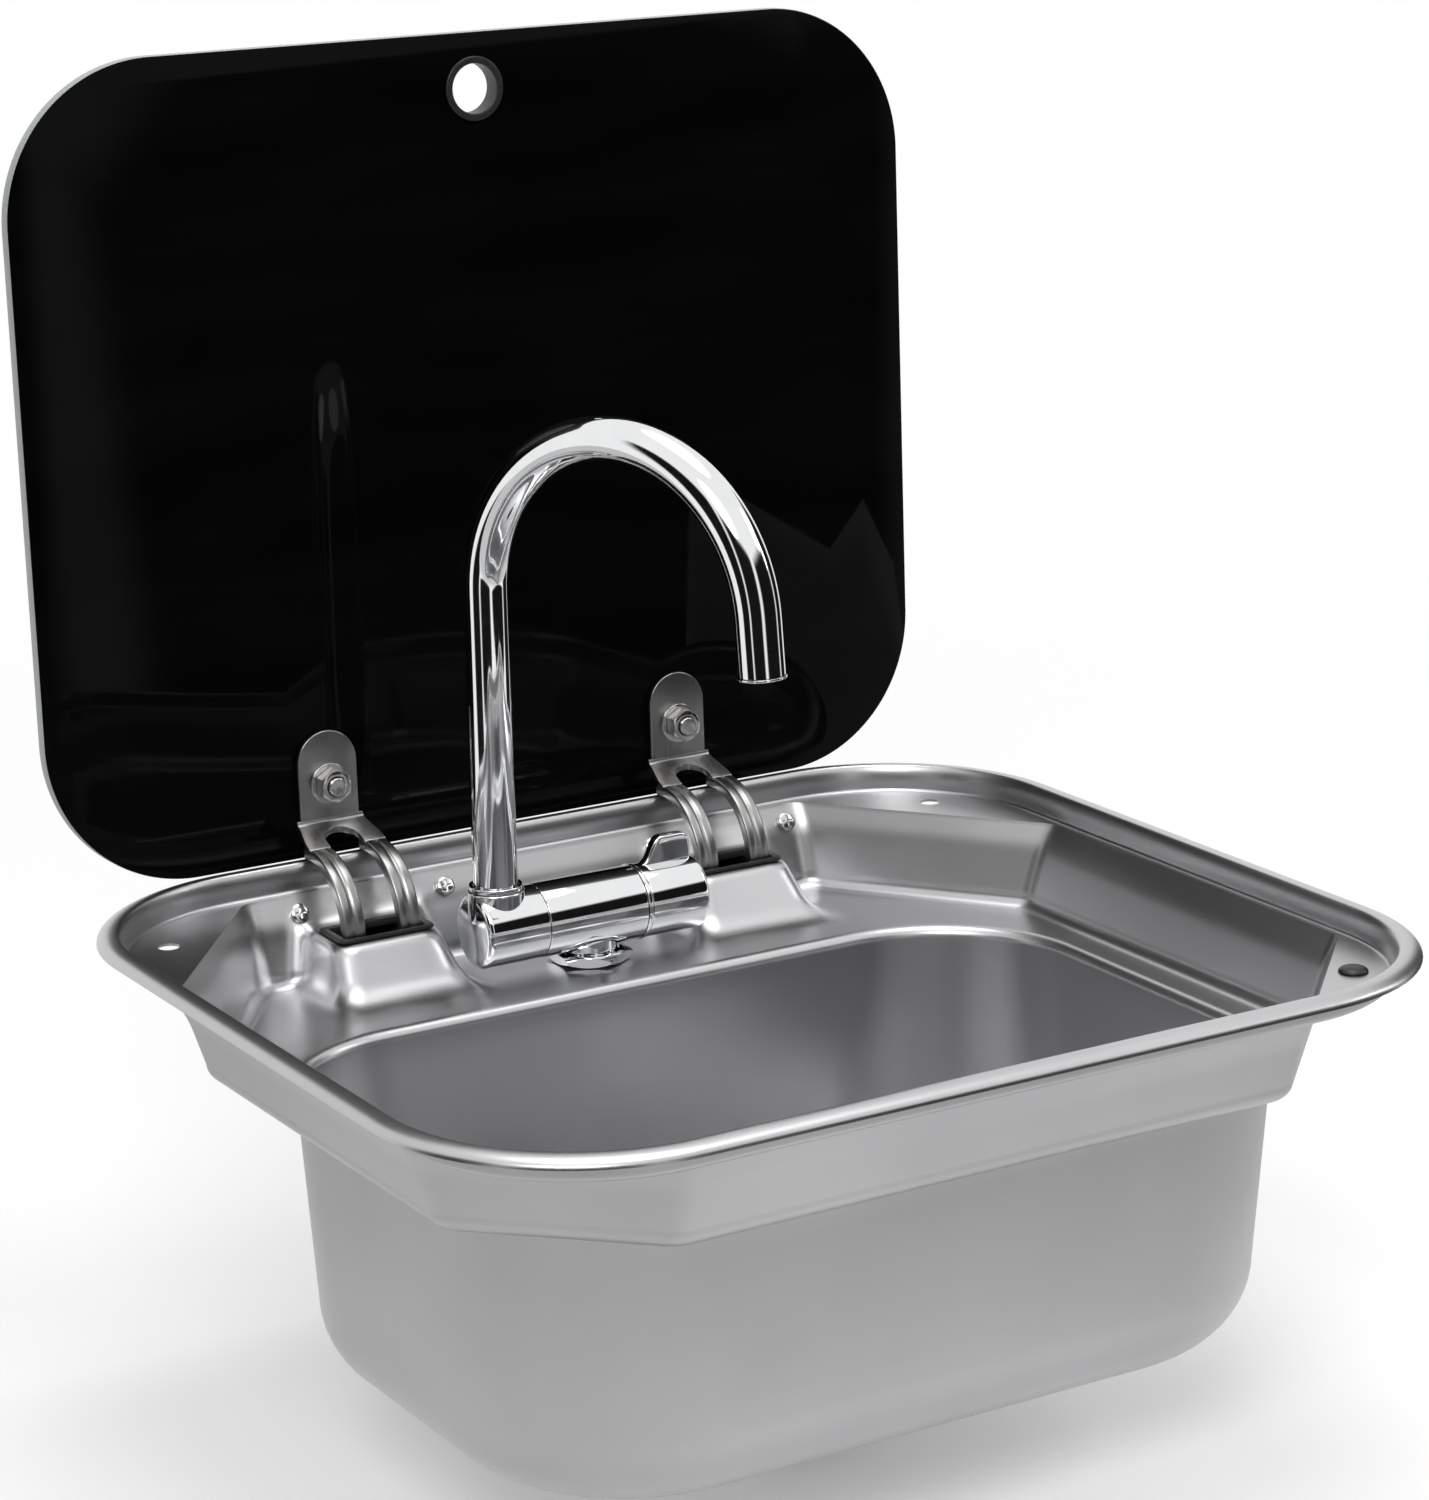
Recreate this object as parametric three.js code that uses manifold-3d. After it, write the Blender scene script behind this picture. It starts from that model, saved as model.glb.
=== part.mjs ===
// A drop-in stainless sink for a camper worktop, with a hinged black glass lid and a fold-down tap.
// Millimetres. X runs right, Y runs back, Z runs up. The origin is the middle of the rim, on the worktop.
// It is drawn as it stands in use: lid up, leaning back a little, and spout up over the bowl.
// Insets run inwards from the rim's outer edge, and depths run down from the worktop.

import * as THREE from 'three';
import { mergeVertices } from 'three/addons/utils/BufferGeometryUtils.js';
import Module from 'manifold-3d';

const wasm = await Module();
wasm.setup();

const degrees = THREE.MathUtils.degToRad;

// ---------- driving dimensions ----------

const GAP = 0.3; // between two pieces that touch
const CLEAR = 30; // how far a cutting tool runs past what it opens

// Pressed sheet and rolled rim.
const SHEET = 1;
const RIM_LENGTH = 420;
const RIM_WIDTH = 370;
const RIM_LIFT = 0.3; // the edge stands just clear of the worktop
const CROWN_HEIGHT = 4;
const CROWN_INSET = 7.5;
const CROWN_TO_FOOT = 3.1;
const FOOT_FILLET = 1.6;

// Upper tier: corner ledges, sloped band, walls and shelf.
const LEDGE_DEPTH = 7;
const LEDGE_MARGIN = 1.2; // flat left between rim and wall along the straight sides
const LEDGE_EDGE = 1;
const SCREW_TO_CORNER = 6.1; // straight wall left between the outer screw and the cut-off corner
const LEDGE_LEG = 30.4; // the part of the cut-off corner's leg that is ledge, and not rim
const TIER_CORNER = 10; // radius where a wall turns into the cut-off corner
const BAND_RUN = 5.6;
const BAND_DROP = 10;
const WALL_RUN = 6;
const SHELF_DEPTH = 41;
const SHELF_FILLET = 6;
const LEDGE_HOLE_LEG = 13.3; // how much shorter the corner's leg would be at the hole
const LEDGE_HOLE_SKEW = 10.5; // how much further the hole lies from the front than from the side
const LEDGE_HOLE_RADIUS = 4.2;

// Bowl, below its rounded lip. The insets run from the rim's edge to the bowl's wall.
const BOWL_SIDE_INSET = 44;
const BOWL_FRONT_INSET = 47;
const BOWL_BACK_INSET = 94;
const BOWL_DEPTH = 152;
const BOWL_CORNER_LEG = 2.9; // shelf left between the bowl's corner and the cut-off corner
const BOWL_CORNER_GROWTH = 15; // the corners open out by this much on the way down
const BOWL_LIP = 4.5;
const BOWL_FILLET = 31;
const BOWL_FALL = 0.8;

// Waste.
const WASTE_SEAT_RADIUS = 37;
const WASTE_SEAT_EDGE = 1.2;
const WASTE_SEAT_DROP = 3.5;
const WASTE_HOLE_RADIUS = 26;
const WASTE_WALL = 1.4;
const WASTE_LIP_MARGIN = 2;
const WASTE_CUP = 9;
const WASTE_GASKET = 2;
const WASTE_GASKET_WIDTH = 9;
const WASTE_CLAMP = 3;
const WASTE_BODY_WALL = 2.2;
const WASTE_BODY_DEPTH = 17;
const WASTE_CONE = 5;
const TAIL_RADIUS = 13;
const TAIL_LENGTH = 10;
const WASTE_SCREW_RADIUS = 2.5;
const WASTE_SCREW_HEAD = 2.5;
const WASTE_RIB = 3;
const WASTE_BOSS_HEIGHT = 7;
const STRAINER_HOLES = 8;
const STRAINER_HOLE_RADIUS = 2.6;
const STRAINER_CIRCLE = 14;
const PLUG_OVERLAP = 3;
const PLUG_TOP = 2.6;
const PLUG_DEPTH = 4.5;
const PLUG_TAPER = 1.2;
const PULL_RADIUS = 6;
const PULL_NECK_RADIUS = 3.5;
const PULL_HEIGHT = 11;

// Hinge line of the lid, and the hinges along it.
const PIVOT_INSET = 12.4; // from the rim's back edge
const PIVOT_Z = -20.4;
const LID_LEAN = degrees(1.35);
const HINGE_TO_TAP = 1; // foot of a hinge bump to the tap's end

// Lid, measured from the hinge line with the glass upright. Closed, it lies inside the rim.
const LID_SIDE_GAP = 1.9;
const LID_FRONT_GAP = 6;
const LID_CORNER_STEP = 20; // smaller than the rim's corner
const GLASS = 6;
const GLASS_EDGE = 0.8;
const LID_FACE = 16.1; // hinge line to the face of the glass that is turned to the bowl
const LID_FOOT = 22; // hinge line to the lower edge
const FINGER_HOLE_RADIUS = 11.3;
const FINGER_HOLE_INSET = 22;
const FINGER_RING_BORE = 9.75;
const FINGER_RING_LIP = 1.2;
const FINGER_RING_OVERLAP = 1.3;

// Hinge leaf: tongue, ramp and two curved arms round the hinge line.
const LEAF = 2;
const PAD = 0.6;
const PAD_MARGIN = 1;
const TONGUE_RADIUS = 12.8;
const TONGUE_TOP = 73.2;
const BEND_HEIGHT = 38;
const RAMP_DROP = 6.4;
const SHOULDER_HALF = 14.4;
const LEAF_OPENING_RADIUS = 7.5;
const ARM_HALF = 16.5;
const ARM_RADIUS = 30;
const ARM_DEPTH = 4.2;
const ARM_WALL = 1.7;
const ARM_GROOVE = 0.6;
const ARM_GROOVE_WIDTH = 1.2;
const ARM_TOP_ANGLE = degrees(98); // angles run up from the front, round the hinge line
const ARM_END_ANGLE = degrees(-11);
const ARM_STEPS = 12;
const LINK = 3;
const LINK_TOP = -1.4;
const LINK_FOOT = -6.1;
const HUB_WALL = 1.2;
const PIN_RADIUS = 2.5;
const PIN_HEAD = 1.5;
const PIN_HEAD_RADIUS = 4;

// Lid fastening.
const BOLT_HEIGHT = 51.9;
const BOLT_RADIUS = 3.6;
const BOLT_CAP_RADIUS = 10;
const BOLT_CAP = 3.2;
const CAP_WASHER = 1.2;
const LID_WASHER_RADIUS = 8.2;
const LID_WASHER = 1.3;
const LID_NUT_FLATS = 12;
const LID_NUT = 6;
const STUD_END = 1.2;

// Hinge bump, slot and bezel.
const BUMP_DEPTH = 20;
const BUMP_SIDE_MARGIN = 4.9; // from the slot to the edge of the bump's top
const BUMP_FRONT_MARGIN = 2.4;
const BUMP_SIDE_RUN = 5; // how far the bump's sides and front run out to its foot
const BUMP_FRONT_RUN = 16.5;
const BUMP_CORNER = 8;
const BUMP_EDGE = 2;
const SLOT_SIDE_CLEAR = 2.1; // round the arms
const SLOT_FRONT_CLEAR = 3.7;
const SLOT_TO_PIVOT = 14.6;
const SLOT_CORNER = 3;
const BEZEL_WALL = 1;
const BEZEL_LIP = 2.1;
const BEZEL_LIP_FRONT = 0.7;
const BEZEL_RISE = 1.2;

// Hinge housing and its screws.
const HOUSING_WALL = 2.5;
const HOUSING_CHEEK_GAP = 2.1; // arm to cheek
const HOUSING_FRONT_GAP = 1.6; // arm to front wall
const HOUSING_FLOOR_GAP = 0.7; // arm to floor
const HOUSING_HEADROOM = 0.8; // under the bump's top
const HOUSING_REACH = 6.9; // from the hinge line to the back of the cheeks
const HOUSING_EAR = 6.4; // from the hinge line to the top of the ears
const HOUSING_FLANGE = 3;
const HOUSING_CORNER = 6;
const SCREW_INNER = -24.5; // from the middle of the hinge, the same way on both hinges
const SCREW_OUTER = 40;
const SCREW_MARGIN = 4.5;
const SCREW_DEPTH = 14;
const SCREW_RADIUS = 2;
const SCREW_HEAD_RADIUS = 4;
const SCREW_HEAD = 2.4;
const SCREW_LENGTH = 8;
const SCREW_CROSS = 1;
const SCREW_CROSS_HALF = 2.2;

// Bumpers.
const BUMPER_RADIUS = 5.6;
const BUMPER_BARB = 0.8;
const BUMPER_BARB_LENGTH = 4;

// Tap.
const TAP_INSET = 58; // from the rim's back edge
const TAP_AXIS_HEIGHT = 20; // over the shelf
const TAP_RADIUS = 15;
const TAP_LEFT = -49.6;
const TAP_SEAM = -22.5;
const TAP_RING_X = 22;
const TAP_RIGHT = 51;
const TAP_EDGE = 2.5;
const TAP_BASE_X = 2.5;
const NECK_RADIUS = 11;
const SHANK_RADIUS = 9.7;
const SHANK_LENGTH = 25;
const COLLAR_FLATS = 30;
const COLLAR_MARGIN = 0.6; // under the body
const TAP_GASKET = 1.2;
const BACKING_RADIUS = 17;
const BACKING = 2;
const LOCKNUT_FLATS = 28;
const LOCKNUT = 8;
const INLET_X = 4.9;
const INLET_RADIUS = 3.8;
const INLET_BORE = 2.4;
const INLET_LENGTH = 56;
const INLET_SOCKET = 12;
const CARTRIDGE_RADIUS = 11;
const CARTRIDGE_LENGTH = 24;
const SPINDLE_RADIUS = 4;
const SPINDLE_LENGTH = 18;
const SPIGOT_RADIUS = 8.5;
const SPIGOT_LENGTH = 5;
const RING_THICKNESS = 1.8;
const RING_PROUD = 0.4;
const PADDLE_HEIGHT = 10.5;
const PADDLE = 5;
const PADDLE_MARGIN = 1.2;
const PADDLE_TOP_LEFT = 9;
const PADDLE_TOP_RIGHT = 22;

// Spout.
const PIPE_X = -38.8;
const PIPE_RADIUS = 8.8;
const PIPE_WALL = 1.4;
const PIPE_SOCKET = 12;
const PIPE_BEND_Z = 115.7;
const PIPE_BEND_RADIUS = 65;
const PIPE_BEND_ANGLE = degrees(176);
const PIPE_BEND_STEPS = 14;
const PIPE_DROP = 21;
const SPOUT_TURN = degrees(-68); // from +X towards the front
const BOSS_WALL = 2.2;
const BOSS_RISE = 1;
const COLLAR_HEIGHT = 2;
const COLLAR_WALL = 1.6;
const OUTLET_LENGTH = 9;
const OUTLET_LIP = 1;
const OUTLET_PROUD = 0.5;
const OUTLET_BORE = 4.5;

// Smoothness.
const HALF_CORNER_STEPS = 3;
const SMALL_CORNER_STEPS = 2;
const FILLET_STEPS = 3;
const SCREW_ROUND = 12;
const ROUND = 24;
const FINE_ROUND = 16;
const CURVE_STEPS = 8;

const X = new THREE.Vector3(1, 0, 0);
const Y = new THREE.Vector3(0, 1, 0);
const Z = new THREE.Vector3(0, 0, 1);
const SIDES = { left: -1, right: 1 };
const ROUND_CUT = 2 - Math.SQRT2; // corner cut, per radius, at which the corner is plain round

// ---------- derived places ----------

const RIM_FOOT = CROWN_INSET + CROWN_TO_FOOT;
const TIER_INSET = RIM_FOOT + FOOT_FILLET + LEDGE_MARGIN;
const BOWL_LENGTH = RIM_LENGTH - 2 * BOWL_SIDE_INSET;
const BOWL_WIDTH = RIM_WIDTH - BOWL_FRONT_INSET - BOWL_BACK_INSET;
const BOWL_Y = (BOWL_FRONT_INSET - BOWL_BACK_INSET) / 2;
const PIVOT_Y = RIM_WIDTH / 2 - PIVOT_INSET;
const LID_LENGTH = RIM_LENGTH - 2 * (RIM_FOOT + LID_SIDE_GAP);
const LID_HEIGHT = PIVOT_Y - LID_FOOT + RIM_WIDTH / 2 - RIM_FOOT - LID_FRONT_GAP;
const SLOT_HALF = ARM_HALF + SLOT_SIDE_CLEAR;
const SLOT_FRONT = PIVOT_Y - ARM_RADIUS - SLOT_FRONT_CLEAR;
const SLOT_BACK = PIVOT_Y - SLOT_TO_PIVOT;
const BUMP_TOP_HALF = SLOT_HALF + BUMP_SIDE_MARGIN;
const BUMP_TOP_FRONT = SLOT_FRONT - BUMP_FRONT_MARGIN;
const BUMP_FOOT_HALF = BUMP_TOP_HALF + BUMP_SIDE_RUN;
const BUMP_FOOT_FRONT = BUMP_TOP_FRONT - BUMP_FRONT_RUN;
const HINGE_X = Math.max(TAP_RIGHT, -TAP_LEFT) + HINGE_TO_TAP + BUMP_FOOT_HALF;
const TAP_Y = RIM_WIDTH / 2 - TAP_INSET;
const SHELF_RUN = BAND_RUN + WALL_RUN + SHELF_FILLET; // how far the upper tier's foot comes in
const CORNER_CUT = RIM_LENGTH / 2 - TIER_INSET - HINGE_X - SCREW_OUTER - SCREW_TO_CORNER;
const SHELF_CUT = CORNER_CUT - BAND_RUN - WALL_RUN - ROUND_CUT * SHELF_FILLET;
const RIM_CORNER = TIER_INSET + (CORNER_CUT - LEDGE_LEG) / ROUND_CUT;
const LID_CORNER = RIM_CORNER - LID_CORNER_STEP;
const LEDGE_HOLE_X = RIM_LENGTH / 2 - TIER_INSET - (CORNER_CUT - LEDGE_HOLE_LEG - LEDGE_HOLE_SKEW) / 2;
const LEDGE_HOLE_Y = RIM_WIDTH / 2 - TIER_INSET - (CORNER_CUT - LEDGE_HOLE_LEG + LEDGE_HOLE_SKEW) / 2;
// The bowl's lip is rounded just enough to keep clear of the cut-off corners.
const LIP_LEG = 2 * (TIER_INSET + SHELF_RUN + BOWL_LIP) - BOWL_SIDE_INSET - BOWL_FRONT_INSET;
const BOWL_CORNER = (SHELF_CUT + BOWL_CORNER_LEG + LIP_LEG) / ROUND_CUT - BOWL_LIP;
const TAP_AXIS_Z = TAP_AXIS_HEIGHT - SHELF_DEPTH;
const HUB_RADIUS = PIN_RADIUS + GAP + HUB_WALL;
const TONGUE_BACK = LID_FACE - PAD - 2 * GAP;
const TONGUE_FRONT = TONGUE_BACK - LEAF;
const CLOSED_LID_Z = PIVOT_Z + LID_FACE;
const FINGER_HOLE_HEIGHT = LID_FOOT + LID_HEIGHT - FINGER_HOLE_INSET;
const SHELF_UNDER = -SHELF_DEPTH - SHEET;
const BUMP_UNDER = -BUMP_DEPTH - SHEET;
const WASTE_SEAT_Z = -BOWL_DEPTH - BOWL_FALL - WASTE_SEAT_DROP;
const WASTE_LIP_TOP = WASTE_SEAT_Z + GAP + WASTE_WALL;
const WASTE_CUP_RADIUS = WASTE_HOLE_RADIUS - GAP;
const WASTE_FLOOR = WASTE_LIP_TOP - WASTE_CUP;
const WASTE_BOSS_TOP = WASTE_FLOOR - WASTE_WALL; // the boss that the centre screw goes into
const WASTE_CLAMP_TOP = WASTE_SEAT_Z - SHEET - WASTE_GASKET - 2 * GAP;
const WASTE_BODY_RADIUS = WASTE_HOLE_RADIUS + WASTE_BODY_WALL;
const WASTE_FOOT = WASTE_CLAMP_TOP - WASTE_BODY_DEPTH - WASTE_CONE;
const SHANK_FOOT = -SHELF_DEPTH - SHANK_LENGTH;
const PIPE_SOCKET_RADIUS = PIPE_RADIUS + GAP;
const BOSS_TOP = TAP_RADIUS + BOSS_RISE;

// ---------- materials ----------

const finish = (color, roughness, metalness) =>
  new THREE.MeshStandardMaterial({ color, roughness, metalness });
const steel = () => finish(0xb9b9bc, 0.32, 1);
const hingeSteel = () => finish(0x8f8e8d, 0.35, 1);
const screwSteel = () => finish(0xc4c4c6, 0.25, 1);
const chrome = () => finish(0xdcdee0, 0.06, 1);
const glass = () => finish(0x060607, 0.06, 0);
const blackPlastic = () => finish(0x141414, 0.45, 0);
const greyPlastic = () => finish(0x4a4c4e, 0.5, 0);
const rubber = () => finish(0x0e0e0e, 0.7, 0);
const copper = () => finish(0xb87455, 0.3, 1);

// ---------- solids ----------

// Turns every face over where the enclosed volume comes out negative.
function facingOut(geometry) {
  const index = geometry.getIndex().array;
  const positions = geometry.getAttribute('position');
  const corner = (i) => new THREE.Vector3().fromBufferAttribute(positions, index[i]);
  let volume = 0;
  for (let i = 0; i < index.length; i += 3) {
    volume += corner(i).dot(corner(i + 1).cross(corner(i + 2)));
  }
  if (volume < 0) {
    geometry.setIndex(Array.from(index).reverse());
  }
  return geometry;
}

// Only the corner points, each stored once, and no triangle that has shrunk to a line.
function tidy(geometry) {
  const bare = new THREE.BufferGeometry();
  bare.setAttribute('position', geometry.getAttribute('position'));
  bare.setIndex(geometry.getIndex());
  const merged = mergeVertices(bare);
  const index = merged.getIndex().array;
  const kept = [];
  for (let i = 0; i < index.length; i += 3) {
    const [a, b, c] = [index[i], index[i + 1], index[i + 2]];
    if (a !== b && b !== c && c !== a) {
      kept.push(a, b, c);
    }
  }
  merged.setIndex(kept);
  return facingOut(merged);
}

function toSolid(geometry) {
  const closed = tidy(geometry);
  const vertProperties = new Float32Array(closed.getAttribute('position').array);
  const triVerts = new Uint32Array(closed.getIndex().array);
  return new wasm.Manifold(new wasm.Mesh({ numProp: 3, vertProperties, triVerts }));
}

function toGeometry(solid) {
  const { vertProperties, triVerts } = solid.getMesh();
  const geometry = new THREE.BufferGeometry();
  geometry.setAttribute('position', new THREE.BufferAttribute(new Float32Array(vertProperties), 3));
  geometry.setIndex(Array.from(triVerts));
  return geometry;
}

const joined = (...pieces) => toGeometry(pieces.map(toSolid).reduce((sum, piece) => sum.add(piece)));
const cut = (piece, ...tools) =>
  toGeometry(tools.map(toSolid).reduce((rest, tool) => rest.subtract(tool), toSolid(piece)));
const shared = (first, second) => toGeometry(toSolid(first).intersect(toSolid(second)));
const moved = (geometry, x, y, z) => geometry.clone().translate(x, y, z);

// A box between two opposite corners.
function box([x0, y0, z0], [x1, y1, z1]) {
  const geometry = new THREE.BoxGeometry(x1 - x0, y1 - y0, z1 - z0);
  return geometry.translate((x0 + x1) / 2, (y0 + y1) / 2, (z0 + z1) / 2);
}

// A body of revolution. The outline is [radius, height] pairs, and height runs along the axis.
function turned(outline, axis = Z, segments = ROUND) {
  const points = [...outline, outline[0]].map(([radius, height]) => new THREE.Vector2(radius, height));
  const geometry = new THREE.LatheGeometry(points, segments);
  if (axis === Z) {
    geometry.rotateX(Math.PI / 2);
  }
  if (axis === X) {
    geometry.rotateZ(-Math.PI / 2);
  }
  return geometry;
}

function rod(radius, from, to, axis = Z, segments = ROUND) {
  return turned([[0, from], [radius, from], [radius, to], [0, to]], axis, segments);
}

function tube(outer, inner, from, to, axis = Z, segments = ROUND) {
  return turned([[inner, from], [outer, from], [outer, to], [inner, to]], axis, segments);
}

// A hexagonal prism with a round bore.
function hexNut(flats, bore, from, to, axis = Z) {
  const corner = flats / Math.sqrt(3);
  return cut(rod(corner, from, to, axis, 6), rod(bore, from - GAP, to + GAP, axis, FINE_ROUND));
}

// A flat outline of [y, z] pairs, run along X.
function alongX(outline, from, to) {
  const shape = new THREE.Shape(outline.map(([y, z]) => new THREE.Vector2(y, z)));
  const geometry = new THREE.ExtrudeGeometry(shape, { depth: to - from, bevelEnabled: false });
  return geometry.applyMatrix4(new THREE.Matrix4().makeBasis(Y, Z, X)).translate(from, 0, 0);
}

// A flat shape drawn in X and Z, run along Y between two places.
function alongY(shape, from, to) {
  const along = { depth: to - from, bevelEnabled: false, curveSegments: CURVE_STEPS };
  const geometry = new THREE.ExtrudeGeometry(shape, along);
  const upright = new THREE.Matrix4().makeBasis(X, Z, Y.clone().negate());
  return geometry.applyMatrix4(upright).translate(0, to, 0);
}

// Triangles for the two end rings of a stack, facing away from it.
function caps(outline, lastRing) {
  const turn = Math.sign(THREE.ShapeUtils.area(outline));
  const index = [];
  for (const [a, b, c] of THREE.ShapeUtils.triangulateShape(outline, [])) {
    const alike = Math.sign(THREE.ShapeUtils.area([outline[a], outline[b], outline[c]])) === turn;
    const [second, third] = alike ? [b, c] : [c, b];
    index.push(third, second, a, lastRing + a, lastRing + second, lastRing + third);
  }
  return index;
}

// Skins a stack of rings that have the same number of points. With a flat outline of the end rings
// the stack is capped, and without one its last ring is joined to its first.
function skinned(rings, flatOutline = null) {
  const count = rings[0].length;
  const spans = flatOutline ? rings.length - 1 : rings.length;
  const index = [];
  for (let i = 0; i < spans; i += 1) {
    const here = i * count;
    const next = ((i + 1) % rings.length) * count;
    for (let j = 0; j < count; j += 1) {
      const k = (j + 1) % count;
      index.push(here + j, here + k, next + k, here + j, next + k, next + j);
    }
  }
  if (flatOutline) {
    index.push(...caps(flatOutline, (rings.length - 1) * count));
  }
  const positions = rings.flat().flatMap((point) => point.toArray());
  const geometry = new THREE.BufferGeometry();
  geometry.setAttribute('position', new THREE.Float32BufferAttribute(positions, 3));
  geometry.setIndex(index);
  return geometry;
}

// ---------- levels: rectangles with cut-off or round corners ----------

// One quarter of a level: the cut runs at 45 degrees, and each end of it is rounded.
function cornerPoints({ halfX, halfY, cutOff, radius }, steps) {
  const run = radius * Math.tan(Math.PI / 8);
  const centres = [
    [halfX - radius, halfY - cutOff - run],
    [halfX - cutOff - run, halfY - radius],
  ];
  return centres.flatMap(([cx, cy], half) =>
    Array.from({ length: steps + 1 }, (_, i) => {
      const angle = ((half + i / steps) * Math.PI) / 4;
      return [cx + radius * Math.cos(angle), cy + radius * Math.sin(angle)];
    }));
}

function levelRing(level, steps = HALF_CORNER_STEPS) {
  const { x = 0, y = 0, z } = level;
  const corner = cornerPoints(level, steps);
  const quarters = [
    corner,
    corner.map(([px, py]) => [-px, py]).reverse(),
    corner.map(([px, py]) => [-px, -py]),
    corner.map(([px, py]) => [px, -py]).reverse(),
  ];
  return quarters.flat().map(([px, py]) => new THREE.Vector3(x + px, y + py, z));
}

const roundLevel = (halfX, halfY, radius, z, x = 0, y = 0) => ({
  x, y, halfX, halfY, radius, cutOff: ROUND_CUT * radius, z,
});

// The same level, moved outwards in plan and up.
const grown = (level, out, up = 0) => ({
  ...level,
  halfX: level.halfX + out,
  halfY: level.halfY + out,
  radius: level.radius + out,
  cutOff: level.cutOff + ROUND_CUT * out,
  z: level.z + up,
});

// A solid stack of levels.
function lofted(levels, steps = HALF_CORNER_STEPS) {
  const rings = levels.map((level) => levelRing(level, steps));
  return skinned(rings, rings[0].map(({ x, y }) => new THREE.Vector2(x, y)));
}

// A closed band of levels that ends where it began.
const ringBody = (levels, steps = HALF_CORNER_STEPS) =>
  skinned(levels.map((level) => levelRing(level, steps)));

// A face that lies a given depth under the one the levels draw, mitred where it turns. The levels
// run from the rim to the middle.
function under(levels, depth) {
  const normals = levels.slice(1).map((next, i) => {
    const run = levels[i].halfX - next.halfX;
    const climb = next.z - levels[i].z;
    return new THREE.Vector2(-climb, -run).normalize();
  });
  return levels.map((level, i) => {
    const before = normals[Math.max(i - 1, 0)];
    const after = normals[Math.min(i, normals.length - 1)];
    const mitre = before.clone().add(after).multiplyScalar(depth / (1 + before.dot(after)));
    return grown(level, mitre.x, mitre.y);
  });
}

// Angles that divide a quarter turn, the first one left out.
const quarterTurn = (steps) => Array.from({ length: steps }, (_, i) => ((i + 1) / steps) * (Math.PI / 2));

// ---------- basin ----------

const rimLevel = (inset, z) =>
  roundLevel(RIM_LENGTH / 2 - inset, RIM_WIDTH / 2 - inset, RIM_CORNER - inset, z);

// Rolled rim, from its edge over the crown: the profile is two quarter ellipses and a fillet.
function rimEdgeLevels() {
  const rise = CROWN_HEIGHT - RIM_LIFT;
  return [0, ...quarterTurn(5)].map((angle) =>
    rimLevel(CROWN_INSET * (1 - Math.cos(angle)), RIM_LIFT + rise * Math.sin(angle)));
}

function rimFootLevels() {
  const footTop = FOOT_FILLET - LEDGE_DEPTH;
  const drop = CROWN_HEIGHT - footTop;
  const slope = quarterTurn(4).map((angle) =>
    rimLevel(CROWN_INSET + CROWN_TO_FOOT * Math.sin(angle), footTop + drop * Math.cos(angle)));
  const fillet = quarterTurn(FILLET_STEPS).map((angle) =>
    rimLevel(RIM_FOOT + FOOT_FILLET * (1 - Math.cos(angle)), footTop - FOOT_FILLET * Math.sin(angle)));
  return [...slope, ...fillet];
}

// The cut-off corner loses as much as the wall comes in, so its face is steeper than the walls.
const tierLevel = (run, z) => ({
  halfX: RIM_LENGTH / 2 - TIER_INSET - run,
  halfY: RIM_WIDTH / 2 - TIER_INSET - run,
  radius: TIER_CORNER,
  cutOff: CORNER_CUT - run,
  z,
});

function tierLevels() {
  const filletTop = SHELF_FILLET - SHELF_DEPTH;
  const wallFoot = tierLevel(BAND_RUN + WALL_RUN, filletTop);
  const fillet = quarterTurn(FILLET_STEPS).map((angle) => ({
    ...grown(wallFoot, -SHELF_FILLET * (1 - Math.cos(angle)), -SHELF_FILLET * Math.sin(angle)),
    radius: TIER_CORNER,
  }));
  return [
    tierLevel(0, -LEDGE_DEPTH),
    tierLevel(LEDGE_EDGE / 2, -LEDGE_DEPTH - LEDGE_EDGE),
    tierLevel(BAND_RUN, -LEDGE_DEPTH - BAND_DROP),
    wallFoot,
    ...fillet,
  ];
}

// The back wall's face, or a face at a depth behind it, as [y, z] pairs from the ledge to the shelf.
const backWall = (depth) => under(tierLevels(), depth).map(({ halfY, z }) => [halfY, z]);

function backWallY(depth, z) {
  const points = backWall(depth);
  const below = points.findIndex(([, pz]) => pz <= z);
  const [y0, z0] = points[below - 1];
  const [y1, z1] = points[below];
  return THREE.MathUtils.mapLinear(z, z0, z1, y0, y1);
}

function bowlLevels() {
  const halfX = BOWL_LENGTH / 2;
  const halfY = BOWL_WIDTH / 2;
  const mouth = roundLevel(halfX, halfY, BOWL_CORNER, -SHELF_DEPTH - BOWL_LIP, 0, BOWL_Y);
  const lip = [0, ...quarterTurn(FILLET_STEPS)].map((angle) =>
    grown(mouth, BOWL_LIP * (1 - Math.sin(angle)), BOWL_LIP * Math.cos(angle)));
  const footCorner = Math.min(BOWL_CORNER + BOWL_CORNER_GROWTH, halfY);
  const foot = roundLevel(halfX, halfY, footCorner, BOWL_FILLET - BOWL_DEPTH, 0, BOWL_Y);
  const fillet = [0, ...quarterTurn(6)].map((angle) =>
    grown(foot, BOWL_FILLET * (Math.cos(angle) - 1), -BOWL_FILLET * Math.sin(angle)));
  return [...lip, ...fillet];
}

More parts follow.
